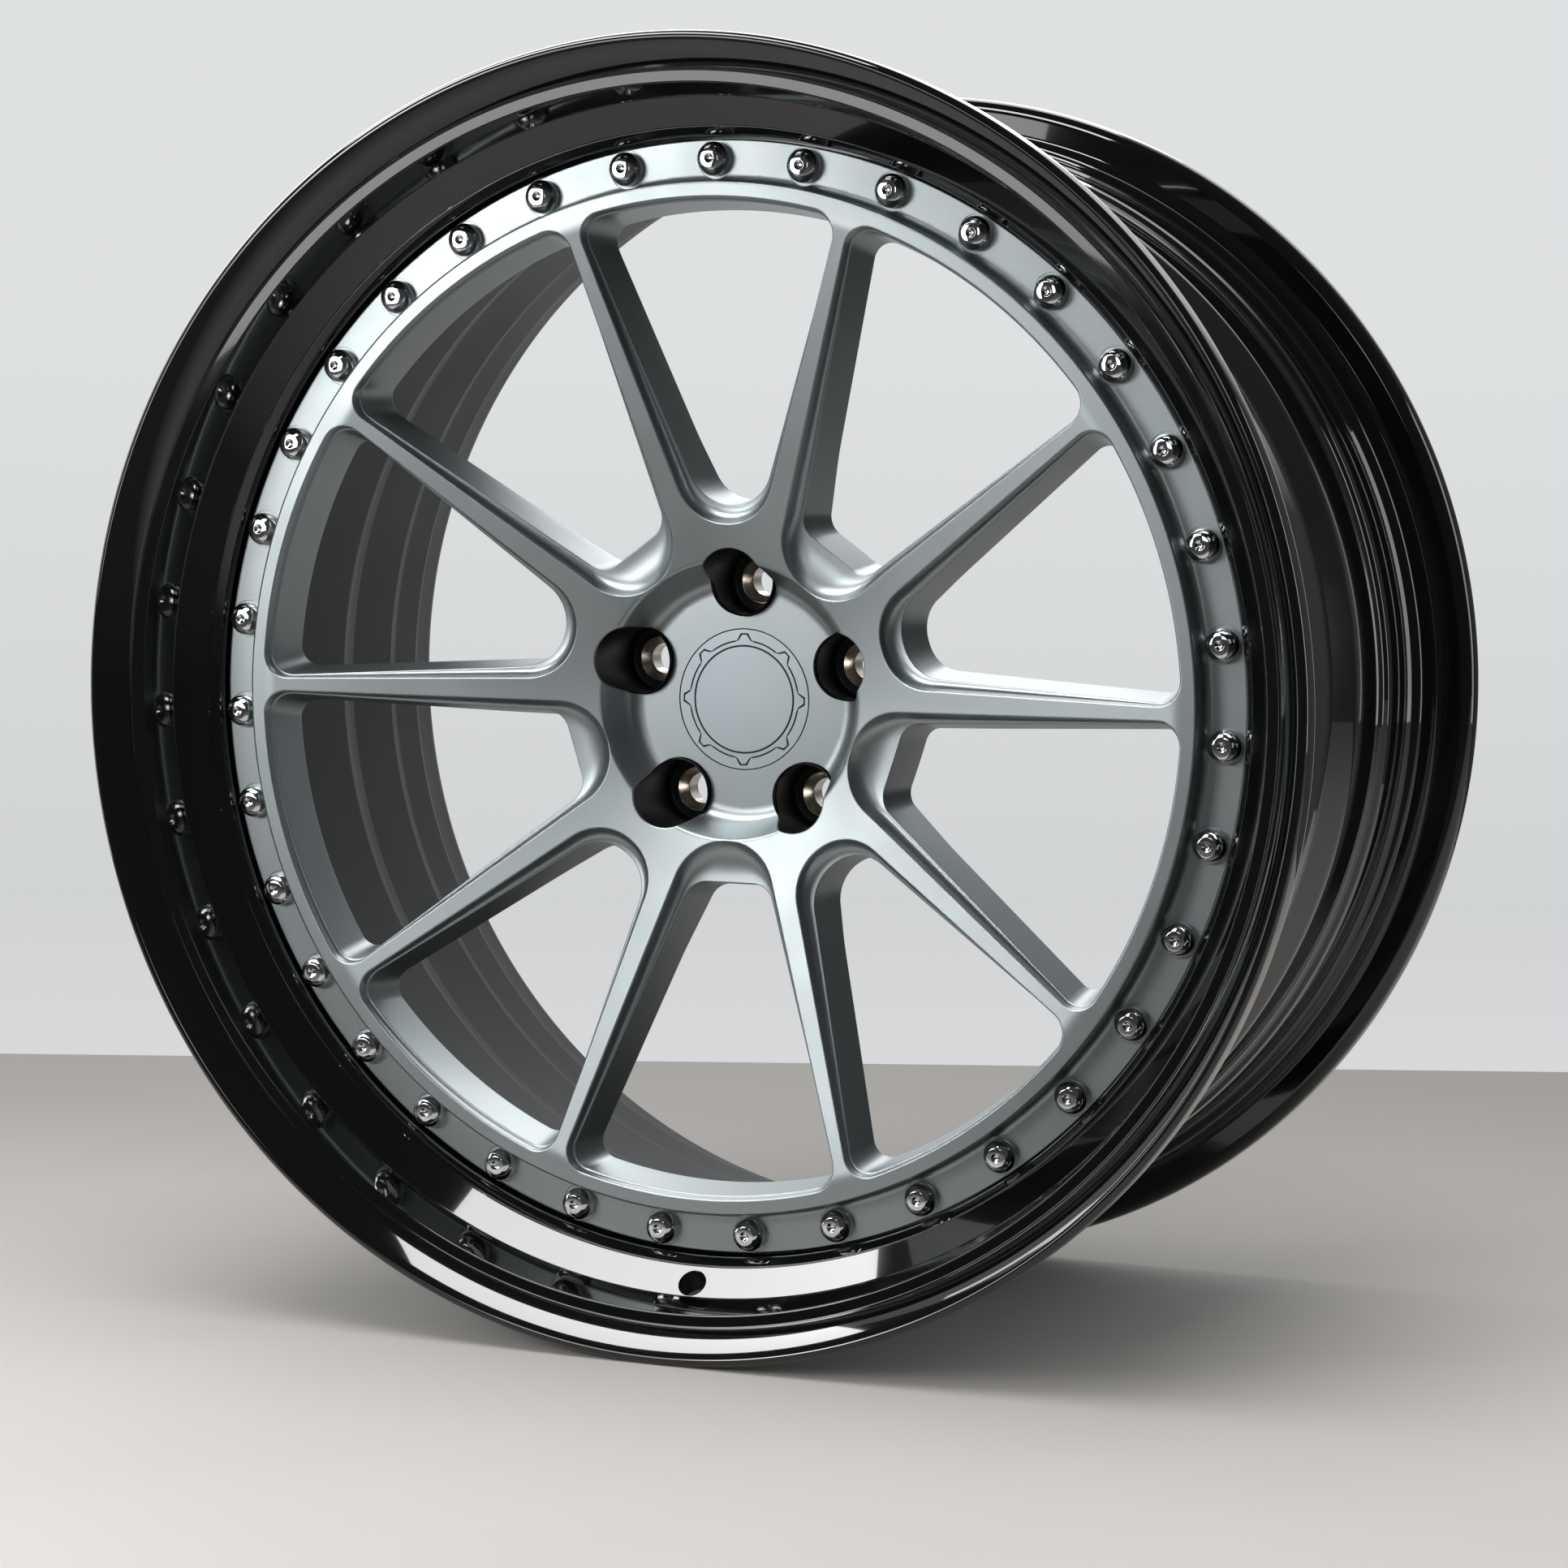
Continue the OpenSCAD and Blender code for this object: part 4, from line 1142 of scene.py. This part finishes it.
def floor_material():
    made = bpy.data.materials.new("matt_floor")
    made.use_nodes = True
    tree = made.node_tree
    shader = tree.nodes["Principled BSDF"]
    shader.inputs["Roughness"].default_value = 0.75
    shader.inputs["Specular IOR Level"].default_value = 0.2
    place = add_node(tree, "ShaderNodeTexCoord").outputs["Object"]
    clouds = add_node(tree, "ShaderNodeTexNoise", {"Vector": place, "Scale": 6.0, "Detail": 5.0})
    mix = add_node(tree, "ShaderNodeMix", {
        "Factor": clouds.outputs["Fac"], "A": srgb("bcb8b4"), "B": srgb("c5c1bd")}, data_type="RGBA")
    # reflections of the floor fall off in front, where no lamp reaches it
    way = add_node(tree, "ShaderNodeSeparateXYZ", {"Vector": place}).outputs["Y"]
    far = add_node(tree, "ShaderNodeMapRange", {
        "Value": way, "From Min": -0.32, "From Max": -0.5, "To Min": 1.0, "To Max": 0.15})
    path = add_node(tree, "ShaderNodeLightPath").outputs["Is Glossy Ray"]
    level = add_node(tree, "ShaderNodeMix", {
        "Factor": path, "A": 1.0, "B": far.outputs["Result"]}, data_type="FLOAT")
    # painted shade: the floor's colour darkens toward the wall, where less light reaches it
    depth = add_node(tree, "ShaderNodeVectorMath", {0: place, 1: SIGHT}, operation="DOT_PRODUCT")
    fall = add_node(tree, "ShaderNodeMapRange", {
        "Value": depth.outputs["Value"], "From Min": -0.35, "From Max": 0.7, "To Min": 1.0, "To Max": 0.62},
        interpolation_type="SMOOTHSTEP")
    level = add_node(tree, "ShaderNodeMath", {
        0: level.outputs["Result"], 1: fall.outputs["Result"]}, operation="MULTIPLY")
    shade = add_node(tree, "ShaderNodeVectorMath", {
        0: mix.outputs["Result"], "Scale": level.outputs[0]}, operation="SCALE")
    tree.links.new(shade.outputs["Vector"], shader.inputs["Base Color"])
    return made


def seen_rays(tree, path):
    """1 for camera, glossy and transmitted rays."""
    seen = add_node(tree, "ShaderNodeMath", {
        0: path.outputs["Is Camera Ray"], 1: path.outputs["Is Glossy Ray"]}, operation="MAXIMUM")
    seen = add_node(tree, "ShaderNodeMath", {
        0: seen.outputs[0], 1: path.outputs["Is Transmission Ray"]}, operation="MAXIMUM")
    return seen.outputs[0]


def wall_material():
    """Pale wall for camera, glossy and transmitted rays from its front side. Light passes through it."""
    made = bpy.data.materials.new("pale_wall")
    made.use_nodes = True
    tree = made.node_tree
    tree.nodes.remove(tree.nodes["Principled BSDF"])
    out = tree.nodes["Material Output"]
    path = add_node(tree, "ShaderNodeLightPath")
    place = add_node(tree, "ShaderNodeTexCoord").outputs["Object"]
    height = add_node(tree, "ShaderNodeSeparateXYZ", {"Vector": place}).outputs["Z"]
    up = add_node(tree, "ShaderNodeMapRange", {"Value": height, "From Min": FLOOR_Z, "From Max": 1.0})
    # painted light and shade: the wall's colour changes with height, with a darker band a little above the
    # floor and lighter higher up
    shade = add_node(tree, "ShaderNodeValToRGB", {"Fac": up.outputs["Result"]})
    ramp = shade.color_ramp
    ramp.elements[0].color = srgb("d8d9da")
    ramp.elements[1].color = srgb("e1e3e5")
    for at, colour in ((0.08, "d1d3d5"), (0.35, "dee0e1")):
        ramp.elements.new(at).color = srgb(colour)
    # beyond the right edge of the picture reflections find a dark room
    side = add_node(tree, "ShaderNodeVectorMath", {0: place, 1: SIDE}, operation="DOT_PRODUCT")
    fall = add_node(tree, "ShaderNodeMapRange", {
        "Value": side.outputs["Value"], "From Min": 0.58, "From Max": 0.75, "To Min": 1.0, "To Max": 0.1})
    strength = add_node(tree, "ShaderNodeMix", {
        "Factor": path.outputs["Is Camera Ray"], "A": fall.outputs["Result"], "B": 1.0}, data_type="FLOAT")
    light = add_node(tree, "ShaderNodeEmission", {
        "Color": shade.outputs["Color"], "Strength": strength.outputs["Result"]})
    clear = add_node(tree, "ShaderNodeBsdfTransparent")
    behind = add_node(tree, "ShaderNodeNewGeometry").outputs["Backfacing"]
    shown = add_node(tree, "ShaderNodeMath", {
        0: seen_rays(tree, path), 1: behind}, operation="SUBTRACT", use_clamp=True)
    mix = add_node(tree, "ShaderNodeMixShader", {
        0: shown.outputs[0], 1: clear.outputs[0], 2: light.outputs[0]})
    tree.links.new(mix.outputs[0], out.inputs["Surface"])
    return made


def studio_world():
    """Even soft fill for diffuse light. Metal and gloss see a room that is pale behind the wheel and
    dim in front."""
    world = bpy.data.worlds.new("studio")
    bpy.context.scene.world = world
    world.use_nodes = True
    tree = world.node_tree
    back = tree.nodes["Background"]
    path = add_node(tree, "ShaderNodeLightPath")
    way = add_node(tree, "ShaderNodeTexCoord").outputs["Generated"]
    depth = add_node(tree, "ShaderNodeVectorMath", {0: way, 1: SIGHT}, operation="DOT_PRODUCT")
    room = add_node(tree, "ShaderNodeMapRange", {
        "Value": depth.outputs["Value"], "From Min": 0.0, "From Max": 0.7,
        "To Min": ROOM_FRONT, "To Max": ROOM_BACK}, interpolation_type="SMOOTHSTEP")
    level = add_node(tree, "ShaderNodeMix", {
        "Factor": seen_rays(tree, path), "A": FILL, "B": room.outputs["Result"]}, data_type="FLOAT")
    # camera rays get the wall's tone in every direction
    plain = add_node(tree, "ShaderNodeMix", {
        "Factor": path.outputs["Is Camera Ray"], "A": level.outputs["Result"], "B": WALL_TONE},
        data_type="FLOAT")
    back.inputs["Color"].default_value = (0.985, 0.995, 1.0, 1.0)
    tree.links.new(plain.outputs["Result"], back.inputs["Strength"])


def softbox(name, place, facing, long_way, length, width, radiance, diffuse=True, glossy=True):
    """Rectangular lamp of a stated radiance. diffuse False keeps it to reflections, and glossy False
    keeps it out of them."""
    lamp = bpy.data.lights.new(name, "AREA")
    lamp.shape = "RECTANGLE"
    lamp.size = length
    lamp.size_y = width
    lamp.energy = radiance * 4 * length * width
    back = -Vector(facing).normalized()
    along = Vector(long_way)
    along = (along - back * along.dot(back)).normalized()
    turn = Matrix((along, back.cross(along), back)).transposed().to_4x4()
    obj = bpy.data.objects.new(name, lamp)
    bpy.context.scene.collection.objects.link(obj)
    obj.matrix_world = Matrix.Translation(place) @ turn
    obj.visible_diffuse = diffuse
    obj.visible_glossy = glossy
    obj.visible_camera = False


ROOM_FRONT, ROOM_BACK, FILL, WALL_TONE = 0.05, 0.5, 0.7, 0.64
STAGE = 6
floor_corners = [(x * STAGE, y * STAGE, FLOOR_Z) for x, y in ((-1, -1), (1, -1), (1, 1), (-1, 1))]
stage_plane("floor", floor_corners, floor_material())
eye = bpy.context.scene.camera.location
foot = Vector((eye.x, eye.y, 0)) + SIGHT * WALL_AT
wall_outline = ((-STAGE, FLOOR_Z), (STAGE, FLOOR_Z), (STAGE, 3.5), (-STAGE, 3.5))
wall_corners = [tuple(foot + SIDE * x + Vector((0, 0, z))) for x, z in wall_outline]
stage_plane("wall", wall_corners, wall_material())
studio_world()
softbox("front_overhead", (-0.46, -0.465, 0.78), (0, 0, -1),
        (-0.949, 0.316, 0), 0.93, 0.34, 10.0, diffuse=False)
softbox("rear_overhead", (-0.45, 0.33, 0.66), (0.309, -0.770, -0.55),
        (0.928, 0.373, 0), 1.1, 0.8, 2.4, diffuse=False)
softbox("key", (-0.62, -1.09, 0.25), (0.61, 0.98, -0.25),
        (0.85, -0.53, 0), 0.52, 0.5, 3.4)
softbox("key_core", (-0.61, -1.08, 0.26), (0.61, 0.98, -0.25),
        (0.85, -0.53, 0), 0.16, 0.16, 12.0)
softbox("low_front", (0.06, -1.3, 0.31), (0, 0.97, -0.24),
        (1, 0, 0), 0.24, 0.24, 3.0)
softbox("top_fill", (0.0, -0.5, 2.2), (0, 0.1, -1),
        (1, 0, 0), 1.8, 1.8, 3.0, glossy=False)
softbox("left_strip", (-1.15, -0.35, 0.1), (1, 0.2, 0),
        (0, 0, 1), 1.3, 0.06, 5.0, diffuse=False)
softbox("right_rear", (1.3, 0.5, 0.35), (-0.9, -0.3, -0.2),
        (0, 0, 1), 1.0, 0.5, 2.0, diffuse=False)
bpy.context.scene.view_settings.view_transform = "Standard"
